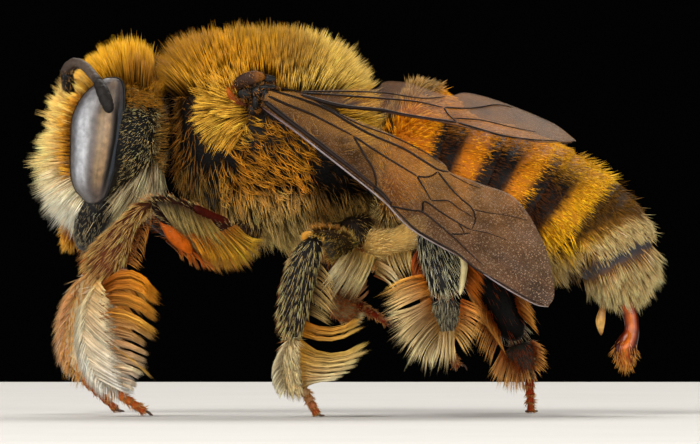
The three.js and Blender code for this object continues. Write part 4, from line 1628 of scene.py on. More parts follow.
@dataclass
class Feeler:
    """One feeler: a hairy shaft and a whip of twelve joints that ends in a broad club."""

    palette: Palette
    side: Side
    shaft: tuple = ((1.35, 0.9, 7.75), (1.1, 1.2, 8.05), (1.02, 1.42, 8.4), (1.04, 1.5, 8.56))
    whip: tuple = (
        (1.0, 1.5, 8.42), (0.97, 1.52, 8.56), (1.07, 1.6, 8.72), (1.24, 1.75, 8.79), (1.46, 1.98, 8.69),
        (1.66, 2.3, 8.48), (1.8, 2.6, 8.3), (1.91, 2.82, 8.09), (2.02, 2.96, 7.82), (2.12, 3.02, 7.52),
    )
    shaft_hair: Hair = Hair((0.08, 0.16), "5c3c1c", "b88c50", stand=0.6, spread=0.4, width=0.008, fleck=0.3)
    whip_hair: Hair = Hair((0.03, 0.05), "5a5044", "8c8274", stand=0.5, spread=0.3, width=0.006)
    shaft_hairs: int = 500
    whip_hairs: int = 1200
    shaft_radius: float = 0.14
    shaft_swell: float = 0.03
    joints: int = 12
    radius: float = 0.122
    waist: float = 0.07
    club: float = 0.4  # how much wider the club is
    club_from: float = 0.667
    club_to: float = 1.04
    tones: tuple = (
        (0.0, "1c1612"), (0.2, "3a302a"), (0.6, "443a32"), (0.65, "2c2622"), (0.68, "221e1c"),
        (1.0, "1a1817"),
    )

    def _whip_radius(self, share: Array) -> Array:
        """Slight waists at the joints, and the broad club.

        Args:
            share: Where on the whip.

        Returns:
            The half widths there.
        """
        waist = 1 - self.waist * np.abs(np.cos(np.pi * share * self.joints)) ** 10
        at = np.clip((share - self.club_from) / (self.club_to - self.club_from), 0, 1)
        club = 1 + self.club * np.sin(np.pi * at) ** 0.7
        neck = 1 - 0.22 * np.exp(-(((share - self.club_from) / 0.01) ** 2))
        return self.radius * (0.75 + 0.25 * ramp(0, 0.15, share)) * waist * club * neck

    def build(self) -> None:
        """Builds the shaft, the whip and the short hair on both."""
        label = self.side.label
        scape, flagellum = f"antenna_scape_{label}", f"antenna_flagellum_{label}"
        form = Form()
        line = Line(sided(self.shaft, self.side))
        shaft = form.tube(line, lambda s: self.shaft_radius + self.shaft_swell * np.sin(np.pi * s), 12, 16)
        form.finish(f"feeler_shaft_{label}", self.palette.dark, "cuticle", scape)
        form = Form()
        whip = form.tube(
            Line(sided(self.whip, self.side)),
            self._whip_radius,
            16,
            150,
            flat=0.85,
            across=(0.2, self.side.value, 0.3),
            colour=graded(self.tones),
        )
        form.finish(f"feeler_whip_{label}", self.palette.legs, "cuticle", flagellum)
        coat = Coat(f"feeler_hair_{label}", "cuticle", [scape, flagellum], SEEDS["feeler"] + self.side.value)
        ground = Ground(shaft, whip)
        coat.grow(ground, self.shaft_hair, self.shaft_hairs, lambda s: (s.strip < 0.5) * 1.0)
        coat.grow(
            ground, self.whip_hair, self.whip_hairs, lambda s: (s.strip > 0.5) * ramp(0.69, 0.65, s.share)
        )
        coat.build(self.palette.coat)


@dataclass
class Mouth:
    """Jaws and upper lip."""

    palette: Palette
    jaw: tuple = ((1.9, 1.6, 5.45), (1.66, 1.45, 4.95), (1.5, 1.15, 4.5), (1.45, 0.7, 4.15))
    jaw_radii: tuple = (0.42, 0.44, 0.34, 0.2)
    jaw_hairs: int = 500
    lip: tuple = ((1.25, 0.0, 5.1), (1.06, 0.0, 4.7), (1.1, 0.0, 4.3))
    lip_half: float = 0.5
    lip_narrowing: float = 0.2
    lip_hairs: int = 420
    jaw_hair: Hair = Hair((0.12, 0.22), "241c10", "c8b488", (-0.2, 0.0, -0.7), 0.2, width=0.007, fleck=0.4)
    lip_hair: Hair = Hair(
        (0.25, 0.45), "9c5c10", "e0a840", (-0.3, 0.2, -1.0), 0.4, width=0.011, rings=3, tuft=8, pull=0.5
    )

    def build(self) -> None:
        """Builds both jaws and the lip."""
        width = Line(self.jaw_radii)
        for side in Side:
            form = Form()
            jaw = form.tube(Line(sided(self.jaw, side)), width.at, 20, 28, flat=0.7)
            node = f"mandible_{side.label}"
            form.finish(f"jaw_{side.label}", self.palette.dark, "cuticle", node)
            coat = Coat(f"jaw_hair_{side.label}", "cuticle", [node], SEEDS["jaw"] + side.value)
            coat.grow(Ground(jaw), self.jaw_hair, self.jaw_hairs, lambda s: ramp(0.8, 0.7, s.share))
            coat.build(self.palette.coat)
        form = Form()
        lip = form.tube(
            Line(self.lip),
            lambda s: self.lip_half - self.lip_narrowing * s,
            18,
            18,
            flat=0.4,
            across=(1.0, 0.0, 0.0),
        )
        form.finish("upper_lip", self.palette.amber, "amber_cuticle", "labrum")
        coat = Coat("lip_hair", "golden_coat", ["labrum"], SEEDS["lip"])
        coat.grow(Ground(lip), self.lip_hair, self.lip_hairs)
        coat.build(self.palette.coat)


# ---- Wings ----


@dataclass(frozen=True)
class WingPlan:
    """One wing as seen from the side: edges, veins and how it leans."""

    name: str
    front: Array  # side stations of the edges, from root to tip
    back: Array
    root: tuple[float, float]
    root_out: float
    slope: tuple[float, float]
    veins: tuple  # half thickness and side stations of each
    edge: tuple  # the same for the front edge
    # colours along the front edge; the forewing's pale ones are a painted highlight on its dark edge vein
    edge_tones: tuple
    base: tuple[str, str]  # at the root's front and back
    tip: str
    alpha: tuple[float, float]

    def out(self, x: Array, z: Array) -> Array:
        """Distance of the wing from the middle plane at side stations."""
        return self.root_out + self.slope[0] * (x - self.root[0]) + self.slope[1] * (z - self.root[1])


FOREWING = WingPlan(
    name="forewing",
    front=px(262, 106, 318, 147, 349.7, 172, 381, 198, 411, 228, 457, 255, 498, 283, 530, 301, 545, 305),
    back=px(268, 92, 305, 95, 337, 113, 391.8, 135.5, 440, 162, 450, 173, 479, 184, 515, 200, 542, 245, 551,
        290, 545, 305),
    root=(5.97, 8.1),
    root_out=2.85,
    slope=(-0.326, -0.891),
    veins=(
        (0.07, px(264, 102, 290, 122.5, 318, 143.5, 349.7, 168, 376, 189)),
        (0.06, px(374, 188, 383, 196, 391, 205)),
        (0.026, px(388, 203, 411.7, 227, 435.5, 242, 457, 254, 472, 267, 498, 282, 525.5, 297.5, 541, 303)),
        (0.034, px(268, 97, 288, 106, 309.7, 114.5, 328.7, 124, 353, 136.6)),
        (0.028, px(353, 136.6, 363.4, 154.5, 371.8, 168, 375, 178, 376, 192)),
        (0.026, px(353, 136.6, 376, 152, 402, 168, 416.6, 177)),
        (0.034, px(270, 91, 305.5, 101.8, 328.7, 111.3, 349.7, 124, 370.8, 135.5, 402.3, 149.2, 422.5, 161.4,
            436.6, 170, 448, 172.6)),
        (0.02, px(270, 88, 300, 93.5, 330, 110, 360, 125.5, 391.8, 137, 422.5, 152, 440, 163.5)),
        (0.022, px(416.6, 177, 425.8, 177.6, 432.3, 175.5, 436.6, 172.2)),
        (0.022, px(416.6, 177, 419.3, 182.5, 424.7, 191.2, 430, 201)),
        (0.024, px(389, 206, 399.8, 208.5, 411.7, 210.7, 421.4, 212.3, 437.7, 224.8, 455, 240, 465.9, 250.8,
            482, 266)),
        (0.022, px(421.4, 212.3, 423.6, 202, 438.8, 211.8, 450.7, 219.4, 463.7, 227, 470, 230)),
        (0.02, px(449.6, 234, 459.4, 234, 468, 233)),
        (0.018, px(457.2, 223.7, 460, 228, 462.6, 233)),
        (0.022,
            px(436.6, 172, 442, 179.3, 450.7, 190, 460.5, 199.9, 470.2, 208.5, 473.5, 219.4, 469.7, 230)),
        (0.018, px(430, 201, 438.8, 201, 447.5, 201.5, 457.2, 208.5, 471, 217)),
        (0.012, px(470.8, 209.6, 487.6, 213, 508.2, 216, 525.5, 220.5)),
        (0.012, px(470, 230, 486, 233, 505, 240)),
        (0.012, px(448, 174, 465.9, 183.6, 480, 189)),
    ),
    edge=(
        (0.022, px(262, 108, 290, 128, 318, 149.5, 349.7, 174.5, 383, 201.5, 411, 229.5, 457, 256)),
        (0.014, px(457, 256, 498, 284, 530, 302, 545, 305.5)),
    ),
    # pale grey-mauve from 0.3 on: a painted highlight on the dark front edge vein
    edge_tones=((0.0, "3c2420"), (0.3, "746a6c"), (1.0, "706460")),
    base=("5c3c1e", "946630"),
    tip="4e3828",
    alpha=(0.3, 0.7),
)

HINDWING = WingPlan(
    name="hindwing",
    front=px(300, 98, 340, 107, 381, 112, 439.5, 122, 481, 131, 531, 141, 560, 142.5, 574, 141.5),
    back=px(300, 92, 345, 90, 375, 89.5, 385, 82.4, 409.7, 84, 446, 96, 466, 93.5, 499, 102, 549, 122.5, 569,
        137, 574, 141.5),
    root=(7.6, 7.9),
    root_out=3.25,
    slope=(-0.4, -1.9),
    veins=(
        (0.045, px(300, 96, 340, 107, 381, 111.4, 406, 116.4, 439.5, 121.4, 456, 123.5)),
        (0.026, px(456, 123.5, 481, 131, 502.6, 136.8, 531, 140.6, 556, 141.6)),
        (0.024, px(300, 94, 345, 97, 381, 99.5, 415, 102.5, 443, 108.5)),
        (0.02, px(443, 108.5, 448, 116, 456, 123.5)),
        (0.02, px(443, 108.5, 470, 109, 495, 105.5, 512, 108)),
        (0.016, px(452, 119, 480, 121, 510, 128, 535, 133)),
        (0.018, px(300, 93, 345, 92.5, 385, 94, 420, 99, 446, 97.5)),
    ),
    edge=((0.014, px(381, 113, 439.5, 123, 481, 132, 531, 142, 560, 143)),),
    edge_tones=((0.0, "2c1408"), (1.0, "4c3420")),
    base=("8c500a", "7c4c18"),
    tip="5c3c18",
    alpha=(0.1, 0.5),
)


@dataclass
class Wing:
    """One wing: a thin clear skin and the net of veins that stiffens it."""

    palette: Palette
    plan: WingPlan
    side: Side
    thickness: float = 0.02
    columns: int = 120
    rows: int = 36
    ripple: float = 0.03
    vein_width: float = 1.2  # factor on the plan's half thickness
    vein_tones: tuple = ((0.0, "0c0502"), (1.0, "1c0e08"))

    def _out(self, x: Array, z: Array) -> Array:
        """Distance from the middle plane, with soft folds along the wing."""
        fold = np.sin(7.5 * (x * 0.55 + z)) * np.sin(2.1 * (x - z * 0.6))
        return self.plan.out(x, z) + self.ripple * fold

    def build(self) -> None:
        """Builds the skin and its veins."""
        label = f"{self.plan.name}_{self.side.label}"
        sheet = bmesh.new()
        tint = sheet.verts.layers.float_color.new("Tint")
        bmesh.ops.create_grid(sheet, x_segments=self.columns, y_segments=self.rows, size=1.0)
        flat = np.array([v.co for v in sheet.verts])
        along, across = (flat[:, 0] + 1) / 2, (flat[:, 1] + 1) / 2
        front, back = Line(self.plan.front).at(along), Line(self.plan.back).at(along)
        spot = mix(front, back, across)
        y = self._out(spot[:, 0], spot[:, 1]) * self.side.value
        points = np.stack([spot[:, 0], y, spot[:, 1]], axis=1)
        reach = ramp(0.25, 0.85, along)
        base = mix(*(linear(code) for code in self.plan.base), ramp(0.2, 0.8, across))
        colour = mix(base, linear(self.plan.tip), reach)
        alpha = self.plan.alpha[0] + (self.plan.alpha[1] - self.plan.alpha[0]) * reach
        for k, vert in enumerate(sheet.verts):
            vert.co = (points[k] + ORIGIN) * MM
            vert[tint] = (*colour[k], alpha[k])
        bmesh.ops.remove_doubles(sheet, verts=sheet.verts, dist=1e-7)
        sheet.normal_update()
        bmesh.ops.recalc_face_normals(sheet, faces=sheet.faces)
        bmesh.ops.solidify(sheet, geom=list(sheet.faces), thickness=self.thickness * MM)
        for face in sheet.faces:
            face.smooth = True
        data = bpy.data.meshes.new(f"{label}_skin")
        sheet.to_mesh(data)
        sheet.free()
        enrol(f"{label}_skin", data, self.palette.membrane, [label])
        veins = Form()
        rows = [(*vein, self.vein_tones) for vein in self.plan.veins]
        rows += [(*vein, self.plan.edge_tones) for vein in self.plan.edge]
        for half, points, tones in rows:
            x, z = points.T
            line = Line(np.stack([x, self._out(x, z) * self.side.value, z], axis=1))
            size = self.vein_width * half
            veins.tube(line, lambda s: size * (1 - 0.35 * s), 8, 10 + 6 * len(points), colour=graded(tones))
        veins.finish(f"{label}_veins", self.palette.vein, "wing", label)


@dataclass
class WingCap:
    """The scale over a wing's root, with the plates and hinges behind it."""

    palette: Palette
    side: Side
    # points along a plate, its radii and its colours
    scale: tuple = (
        ((5.12, 2.5, 8.12), (5.35, 2.64, 8.3), (5.7, 2.7, 8.42), (5.98, 2.66, 8.4)),
        (0.05, 0.155, 0.15, 0.04),
        ((0.0, "5c2408"), (0.2, "20140e"), (0.6, "302018"), (0.85, "7c4a18"), (1.0, "2c1406")),
    )
    front_plate: tuple = (
        ((5.0, 2.42, 8.18), (5.1, 2.46, 7.95), (5.28, 2.5, 7.8), (5.52, 2.52, 7.7)),
        (0.03, 0.08, 0.07, 0.02),
        ((0.0, "8c4408"), (0.5, "5c2406"), (1.0, "1c0a04")),
    )
    hinges: tuple = (
        ((5.8, 2.7, 8.05), (0.2, 0.12, 0.16)), ((6.0, 2.76, 8.16), (0.24, 0.09, 0.08)),
        ((5.72, 2.68, 7.8), (0.1, 0.1, 0.2)), ((6.06, 2.62, 8.36), (0.16, 0.05, 0.1)),
        ((5.5, 2.52, 8.02), (0.24, 0.1, 0.18)), ((5.64, 2.58, 7.62), (0.12, 0.1, 0.16)),
        ((5.95, 2.88, 7.92), (0.09, 0.07, 0.2)),
    )
    hairs: int = 820
    hair: Hair = Hair(
        (0.1, 0.2), "0c0602", "a0682c", (0.5, 0.1, -0.2), 0.5, spread=0.4, width=0.009, fleck=0.6
    )

    def build(self) -> None:
        """Builds the scale, the plates and the short hair on them."""
        label = self.side.label
        node = f"tegula_{label}"
        shells = []
        for name, slot, (points, radii, tones) in (
            ("scale", "cuticle", self.scale),
            ("front_plate", "amber_cuticle", self.front_plate),
        ):
            form = Form()
            line = Line(sided(points, self.side))
            shells.append(form.tube(line, Line(radii).at, 20, 30, flat=0.6, colour=graded(tones)))
            form.finish(f"wing_{name}_{label}", self.palette.legs, slot, node)
        form = Form()
        shells += [form.sweep(24, 16, ball(sided(middle, self.side), semi)) for middle, semi in self.hinges]
        form.finish(f"wing_hinges_{label}", self.palette.dark, "cuticle", node)
        coat = Coat(f"wing_root_hair_{label}", "golden_coat", [node], SEEDS["wing"] + self.side.value)
        coat.grow(Ground(*shells), self.hair, self.hairs)
        coat.build(self.palette.coat)


# ---- Legs ----


@dataclass(frozen=True)
class Blade:
    """The bare shell of one leg piece of the left side, as seen from that side."""

    piece: str
    front: Array  # side stations of the edges, from the body outward
    back: Array
    out: tuple  # distance from the middle plane along it
    half: float  # half thickness
    tones: tuple[str, str]  # near the body and far from it
    hairs: int = 0
    hair: Hair = Hair()
    inner: tuple[str, str] = ("6c2408", "c06a20")  # root and tip of hair on the inner face
    inner_share: float = 1.0  # of the outer face's density
    name: str = "shell"

    def place(self, share: Array, turn: Array) -> Array:
        """Places the points of the left side's shell.

        Args:
            share: Shares of the way from pole to pole.
            turn: Angles round it.

        Returns:
            The points.
        """
        t = (1 - np.cos(np.pi * share)) / 2
        closing = rounded(t, 7)
        front, back = Line(self.front).at(t), Line(self.back).at(t)
        spot = (front + back) / 2 + (back - front) / 2 * (closing * np.cos(turn))[:, None]
        y = Line(self.out).at(t) + self.half * closing * np.sin(turn)
        return np.stack([spot[:, 0], -y, spot[:, 1]], axis=1)


@dataclass(frozen=True)
class Fringe:
    """A row of long hairs on one leg piece of the left side, as seen from that side."""

    piece: str
    count: int
    roots: Array
    middles: Array
    tips: Array
    tones: tuple  # root and tip of the first hairs, and of the last hairs
    out: tuple[float, float] = (0.05, 0.15)  # of roots and of tips from the piece's middle
    locks: int = 12
    pull: float = 0.6
    ragged: float = 0.1
    depth: float = 0.25
    width: float = 0.014
    rings: int = 3
    fleck: float = 0.3
    lock_fleck: float = 0.16


def combed(length: tuple[float, float], root: str, tip: str, stand: float = 0.3) -> Hair:
    """Hair that is combed down along a leg piece."""
    return Hair(length, root, tip, stand=stand, spread=0.07, width=0.0078, tuft=1, pull=0.0, fleck=0.4)


FRONT_BLADES = (
    Blade("coxa", px(235, 209, 228, 240), px(268, 211, 258, 246), (0.9, 1.5), 0.45, ("140c08", "20120c"),
        400, combed((0.25, 0.45), "2c1c0c", "b8944c", 0.5)),
    Blade("femur", px(240, 226, 228, 221, 204, 208, 181, 199, 158, 196, 151, 198),
        px(246, 246, 222, 250, 203, 247, 186, 240, 168, 229, 156, 216), (1.5, 2.1, 2.7, 3.1), 0.3,
        ("240c06", "140c08"), 600, combed((0.22, 0.35), "2c2010", "b8a068")),
    Blade("femur", px(232, 219, 214, 212, 196, 203), px(226, 230, 210, 222, 194, 212), (1.9, 2.3, 2.75),
        0.12, ("3c0c04", "2c0a04"), name="upper_plate"),
    Blade("femur", px(158, 212, 172, 218, 190, 232), px(160, 222, 171, 241, 186, 252, 196, 256),
        (3.0, 2.9, 2.6), 0.12, ("7c3404", "a44c08"), name="lower_plate"),
    Blade("tibia", px(154, 198, 141, 203, 130, 212, 112, 229, 96, 245, 90, 259, 91, 271, 99, 280),
        px(158, 205, 151, 213, 144, 219, 137, 233, 132, 247, 127, 262, 118, 275, 108, 281),
        (3.1, 3.2, 3.25, 3.3), 0.26, ("160802", "502408"), 1150, combed((0.28, 0.42), "502400", "ffcc78")),
    Blade("basitarsus", px(100, 280, 90, 292, 85, 307, 83, 326, 85, 345, 91, 366, 100, 380, 112, 389),
        px(112, 280, 115, 292, 116, 307, 117, 326, 119, 345, 124, 366, 128, 380, 124, 391),
        (3.3, 3.28, 3.2, 3.1), 0.1, ("a08454", "b8a88c"), 1500, combed((0.3, 0.5), "cfc4a8", "fbf8f0"),
        ("a8600c", "ffbc58")),
)
FRONT_FRINGES = (
    Fringe("femur", 700, px(160, 203, 180, 206, 198, 214, 213, 222),
        px(166, 214, 186, 224, 208, 236, 226, 238), px(176, 228, 196, 248, 220, 260, 246, 254),
        (("140e04", "d8bc7c"), ("4c3008", "f4cc60")), (0.25, 0.3), locks=30, pull=0.3, width=0.011,
        ragged=0.18, rings=2),
    Fringe("femur", 1000, px(188, 232, 204, 234, 220, 232, 236, 226),
        px(198, 246, 217, 251, 236, 248, 251, 236), px(206, 262, 223, 268, 247, 262, 264, 238),
        (("843c04", "f4a428"), ("7c4808", "ffcc3c")), (0.2, 0.25), locks=20, pull=0.45, depth=0.4,
        width=0.012, ragged=0.2),
    Fringe("femur", 120, px(172, 236, 184, 246, 196, 250), px(178, 246, 194, 254, 208, 260),
        px(180, 254, 198, 266, 219, 270), (("903c04", "e07010"), ("a04808", "e88018")), locks=5,
        width=0.018),
    Fringe("tibia", 70, px(149, 216, 140, 231, 134, 247, 127, 262),
        px(153, 221, 147, 237, 142, 252, 135, 265), px(151, 230, 148, 247, 146, 259, 143, 271),
        (("3c1404", "c07c2c"), ("4c1c06", "d08c34")), locks=70, pull=0.0, width=0.009, ragged=0.25,
        depth=0.12),
    Fringe("basitarsus", 1500, px(106, 281, 104, 292, 102, 306, 102, 322),  # upper half of the tassel behind
        px(134, 271, 132, 286, 129, 304, 127, 322), px(157, 289, 157, 302, 154, 319, 151, 336),
        (("6c3004", "f0981c"), ("743c08", "ecac48")), (0.1, 0.12), locks=7, pull=0.5, ragged=0.13,
        width=0.0125, depth=0.22, rings=4),
    Fringe("basitarsus", 1400, px(102, 318, 106, 344, 113, 366, 122, 387),  # lower half of the tassel behind
        px(127, 318, 127, 346, 129, 368, 129, 389), px(151, 332, 147, 354, 143, 374, 134, 394),
        (("743c08", "ecb058"), ("987850", "fff0d8")), (0.1, 0.12), locks=9, pull=0.5, ragged=0.13,
        width=0.0122, depth=0.22),
    Fringe("basitarsus", 60, px(112, 340, 115, 352), px(132, 354, 134, 362), px(153, 374, 155, 380),
        (("8c5818", "f0c060"), ("8c5818", "f0c060")), (0.1, 0.12), locks=1, pull=0.95, width=0.0118),
    # white brush over the broad side
    Fringe("basitarsus", 2250, px(101, 280, 93, 292, 88, 306, 86, 322, 87, 340, 92, 360, 102, 378),
        px(106, 287, 105, 301, 103, 320, 103, 338, 105, 356, 110, 372, 117, 386),
        px(109, 290, 114, 308, 117, 330, 120, 350, 124, 366, 127, 380, 131, 392),
        (("c09450", "f4dca0"), ("ccc0a8", "fffcf4")), (0.16, 0.2), locks=40, pull=0.25, ragged=0.3,
        width=0.011, depth=0.12),
    Fringe("basitarsus", 1000, px(106, 279, 96, 292, 91, 312, 91, 335, 97, 358, 107, 378),  # front edge
        px(96, 287, 87, 303, 83, 326, 85, 350, 92, 371, 104, 388),
        px(87, 298, 79, 318, 77, 342, 81, 364, 91, 384, 106, 397),
        (("c8ac68", "f4e4b4"), ("d8d0bc", "fffdf6")), locks=60, pull=0.2, depth=0.2, width=0.011, rings=2,
        ragged=0.18),
)
MIDDLE_BLADES = (
    Blade("coxa", px(314, 226, 326, 258), px(345, 220, 362, 252), (1.1, 1.6), 0.5, ("120c08", "1a120c"), 500,
        combed((0.3, 0.5), "241808", "b08c48", 0.5)),
    Blade("femur", px(330, 262, 324, 245, 308, 232), px(356, 254, 350, 236, 328, 228), (1.6, 2.8, 3.85), 0.8,
        ("1c1208", "281a0c"), 1000, combed((0.28, 0.45), "3c280c", "e0b858", 0.4), ("3c2008", "a87028")),
    Blade("femur", px(302, 241, 303, 233, 312, 230), px(307, 242, 309, 237, 315, 235), (3.95, 4.0, 4.0),
        0.06, ("80500c", "b88434"), name="left_cap"),
    Blade("femur", px(317, 234, 322, 231, 326, 235), px(317, 239, 321, 237, 323, 243), (3.95, 4.0, 4.0),
        0.06, ("80500c", "b88434"), name="right_cap"),
    Blade("tibia", px(304, 236, 297, 246, 289, 261, 283, 280, 280, 300, 280, 318, 284, 330, 290, 335),
        px(324, 236, 323, 247, 319, 267, 313, 291, 308, 315, 304, 328, 298, 335), (3.9, 4.0, 4.0), 0.28,
        ("0c0a08", "140e0a"), 1000, combed((0.22, 0.34), "201408", "ffdc94"), ("3c1406", "98501c")),
    Blade("basitarsus", px(285, 336, 281, 351, 280, 367, 282, 380, 288, 388),
        px(300, 336, 301, 351, 301, 367, 302, 380, 303, 388), (4.0, 3.9, 3.8), 0.13, ("6c5838", "80704c"),
        1500, combed((0.24, 0.4), "d0ac6c", "fff2c0", 0.2)),
)
MIDDLE_FRINGES = (
    Fringe("tibia", 80, px(318, 262, 313, 285, 308, 312), px(328, 272, 325, 294, 320, 318),
        px(336, 286, 334, 306, 330, 324), (("4c3410", "dcb870"), ("4c3410", "dcb870")), locks=80,
        width=0.009, pull=0.0, ragged=0.3),
    Fringe("tibia", 330, px(306, 321, 304, 334), px(332, 327, 331, 338), px(359, 316, 358, 328),
        (("8c5008", "f0b044"), ("9c6414", "f4c868")), locks=3, pull=0.75, width=0.0112, ragged=0.15,
        depth=0.2, rings=4),
    Fringe("basitarsus", 1200, px(301, 338, 301, 350, 302, 362, 303, 374, 305, 386),
        px(331, 350, 331, 358, 328, 367, 321, 374, 313, 384),
        px(359, 338, 359, 350, 354, 362, 345, 371, 326, 382), (("9c6c14", "f4cc64"), ("906c34", "fff0c4")),
        locks=8, pull=0.78, ragged=0.14, width=0.0112, rings=4),
    Fringe("basitarsus", 600, px(290, 338, 285, 352, 283, 368, 287, 384),
        px(283, 346, 277, 360, 276, 376, 284, 391), px(279, 352, 273, 367, 274, 383, 281, 397),
        (("988460", "e8dab0"), ("988460", "f0e6c4")), locks=24, pull=0.3, width=0.011),
)
HIND_BLADES = (
    Blade("coxa", px(338, 220, 350, 248), px(368, 212, 380, 240), (1.3, 1.9), 0.5, ("120c08", "1a120c"), 500,
        combed((0.3, 0.5), "241808", "b08c48", 0.5)),
    Blade("femur", px(362, 258, 390, 258, 414, 246, 424, 238), px(362, 230, 390, 230, 412, 218, 430, 218),
        (1.9, 2.5, 3.2, 3.6), 0.5, ("a07c3c", "a88448"), 2200, combed((0.3, 0.5), "b08c48", "ecc880", 0.1),
        ("5c3414", "b07c3c")),
    Blade("tibia", px(416, 226, 417, 240, 422, 264, 428, 284, 432, 295),
        px(438, 220, 452, 240, 460, 258, 460, 275, 458, 292), (3.6, 3.9, 4.2, 4.5), 0.24,
        ("080706", "0c0a08"), 560, combed((0.28, 0.42), "0c0806", "fff0c0"), ("4c1404", "a84c14"), 0.2),
    Blade("tibia", px(454, 250, 459, 262, 458, 280, 456, 293), px(462, 252, 466, 264, 464, 280, 460, 295),
        (4.2, 4.3, 4.4, 4.55), 0.12, ("a89868", "c8b888"), name="pale_edge"),
    Blade("basitarsus", px(429, 298, 430, 308, 435, 320, 440, 334, 444, 341),
        px(459, 297, 459, 308, 457, 320, 453, 331, 448, 341), (4.5, 4.3, 4.1), 0.13, ("1c1a16", "302c24"),
        700, combed((0.2, 0.34), "3c3828", "c8bc98", 0.2), ("4c1404", "a84c14"), 0.5),
)
HIND_FRINGES = (
    Fringe("femur", 520, px(346, 246, 360, 252, 376, 256), px(338, 261, 352, 269, 369, 273),
        px(325, 276, 340, 288, 358, 293), (("b08c48", "fff0c0"), ("a07c38", "f4dc9c")), (0.3, 0.35),
        locks=26, ragged=0.3, pull=0.3, width=0.0105, depth=0.4),
    Fringe("femur", 110, px(372, 258, 378, 266, 376, 274), px(387, 265, 392, 276, 388, 285),
        px(397, 276, 400, 288, 394, 296), (("a07838", "fff0c0"), ("a07838", "fff0c0")), (0.3, 0.35), locks=5,
        ragged=0.2, pull=0.8, width=0.0105, rings=4),
    Fringe("femur", 160, px(384, 252, 398, 252, 411, 250), px(388, 264, 401, 264, 411, 260),
        px(396, 276, 406, 275, 412, 270), (("906c30", "f8dc98"), ("906c30", "f0d088")), (0.3, 0.35), locks=9,
        ragged=0.3, pull=0.7, width=0.0105),
    Fringe("tibia", 240, px(421, 276, 425, 284, 429, 293), px(406, 277, 407, 289, 410, 301),
        px(386, 287, 387, 298, 390, 312), (("a05004", "f4b850"), ("9c5c10", "fce0a0")), locks=14,
        ragged=0.25, pull=0.7, width=0.0102),
    Fringe("basitarsus", 320, px(429, 297, 431, 308, 436, 322, 442, 338),
        px(408, 306, 412, 322, 420, 340, 433, 353), px(387, 310, 397, 336, 410, 358, 433, 367),
        (("7c4008", "f8dc9c"), ("6c4c18", "ffeab4")), locks=44, ragged=0.28, pull=0.8, width=0.0098,
        rings=4),
    Fringe("basitarsus", 240, px(460, 298, 459, 310, 457, 322, 452, 334),
        px(469, 301, 469, 314, 466, 328, 457, 342), px(478, 306, 480, 321, 475, 338, 461, 351),
        (("8c3c04", "f0a040"), ("80541c", "ecc478")), locks=18, ragged=0.3, pull=0.5, width=0.0095),
    Fringe("basitarsus", 240, px(438, 330, 452, 330), px(436, 346, 453, 346), px(430, 365, 456, 360),
        (("907040", "f8e4b0"), ("907040", "f0d090")), locks=9, ragged=0.3, width=0.01),
    Fringe("tibia", 600, px(452, 240, 459, 262, 459, 284), px(464, 244, 470, 268, 468, 292),
        px(474, 254, 480, 280, 477, 304), (("4c1002", "c86010"), ("5c1803", "d87a1c")), (-0.3, -0.45),
        locks=18, ragged=0.25, width=0.012),
    Fringe("tibia", 500, px(420, 246, 426, 268, 434, 292), px(412, 256, 418, 280, 428, 304),
        px(410, 268, 417, 294, 428, 318), (("4c1002", "b85410"), ("5c1c04", "d08830")), (-0.3, -0.4),
        locks=18, ragged=0.25, width=0.012),
)


@dataclass(frozen=True)
class LegPlan:
    """One leg: its pair, side and joints."""

    pair: str
    side: Side
    joints: tuple  # knee, ankle, toes and tip
    foot: tuple[str, str]  # colours of the foot joints
    wash: tuple = ()  # root and tip colours that its fringes lean to
    share: float = 1.0  # of the hairs drawn on the left leg
    reach: float = 1.0  # of the left leg's fringes

    @property
    def label(self) -> str:
        """The leg's name as the frame's nodes give it."""
        return f"{self.pair}_{self.side.label}"


PIECES = ("coxa", "femur", "tibia", "basitarsus", "tarsus")
BLADES = {"front": FRONT_BLADES, "middle": MIDDLE_BLADES, "hind": HIND_BLADES}
FRINGES = {"front": FRONT_FRINGES, "middle": MIDDLE_FRINGES, "hind": HIND_FRINGES}
# hip and thigh
HIPS = {
    "front": ((5.6, 0.9, 5.1), (5.4, 1.45, 4.5)),
    "middle": ((7.5, 1.1, 4.8), (7.9, 1.6, 4.0)),
    "hind": ((8.1, 1.3, 5.0), (8.4, 1.85, 4.3)),
}
LEGS = (
    LegPlan("front", Side.LEFT, ((3.3, 3.1, 5.35), (1.85, 3.3, 3.55), (2.3, 3.1, 0.6), (2.95, 3.0, 0.14)),
        ("9c4c18", "7c300c")),
    LegPlan("front", Side.RIGHT, ((2.95, 3.0, 5.2), (1.65, 2.9, 3.8), (1.3, 2.9, 0.9), (2.15, 2.75, 0.1)),
        ("8c4814", "6c2c0c"), ("a04c08", "ffb050"), 0.6),
    LegPlan("middle", Side.LEFT, ((7.3, 3.85, 4.5), (6.6, 4.0, 2.1), (6.9, 3.8, 0.72), (7.22, 3.6, 0.1)),
        ("7c6040", "7c3014")),
    LegPlan("middle", Side.RIGHT, ((7.2, 4.0, 4.8), (7.5, 2.9, 2.9), (8.25, 1.95, 2.75), (9.0, 1.35, 2.3)),
        ("4c1404", "6c2008"), ("541c04", "c87018"), 0.45, 0.4),
    LegPlan("hind", Side.LEFT, ((9.9, 3.6, 4.68), (10.45, 4.5, 2.95), (10.42, 4.1, 1.7), (10.7, 3.3, 1.3)),
        ("5c3c20", "5c240c")),
    LegPlan("hind", Side.RIGHT,
        ((10.85, 3.5, 4.2), (12.3, 3.3, 1.76), (12.58, 3.2, 0.86), (12.62, 3.1, 0.04)),
        ("6c1c04", "802c0c"), ("903c08", "ffb450"), 0.6, 0.5),
)


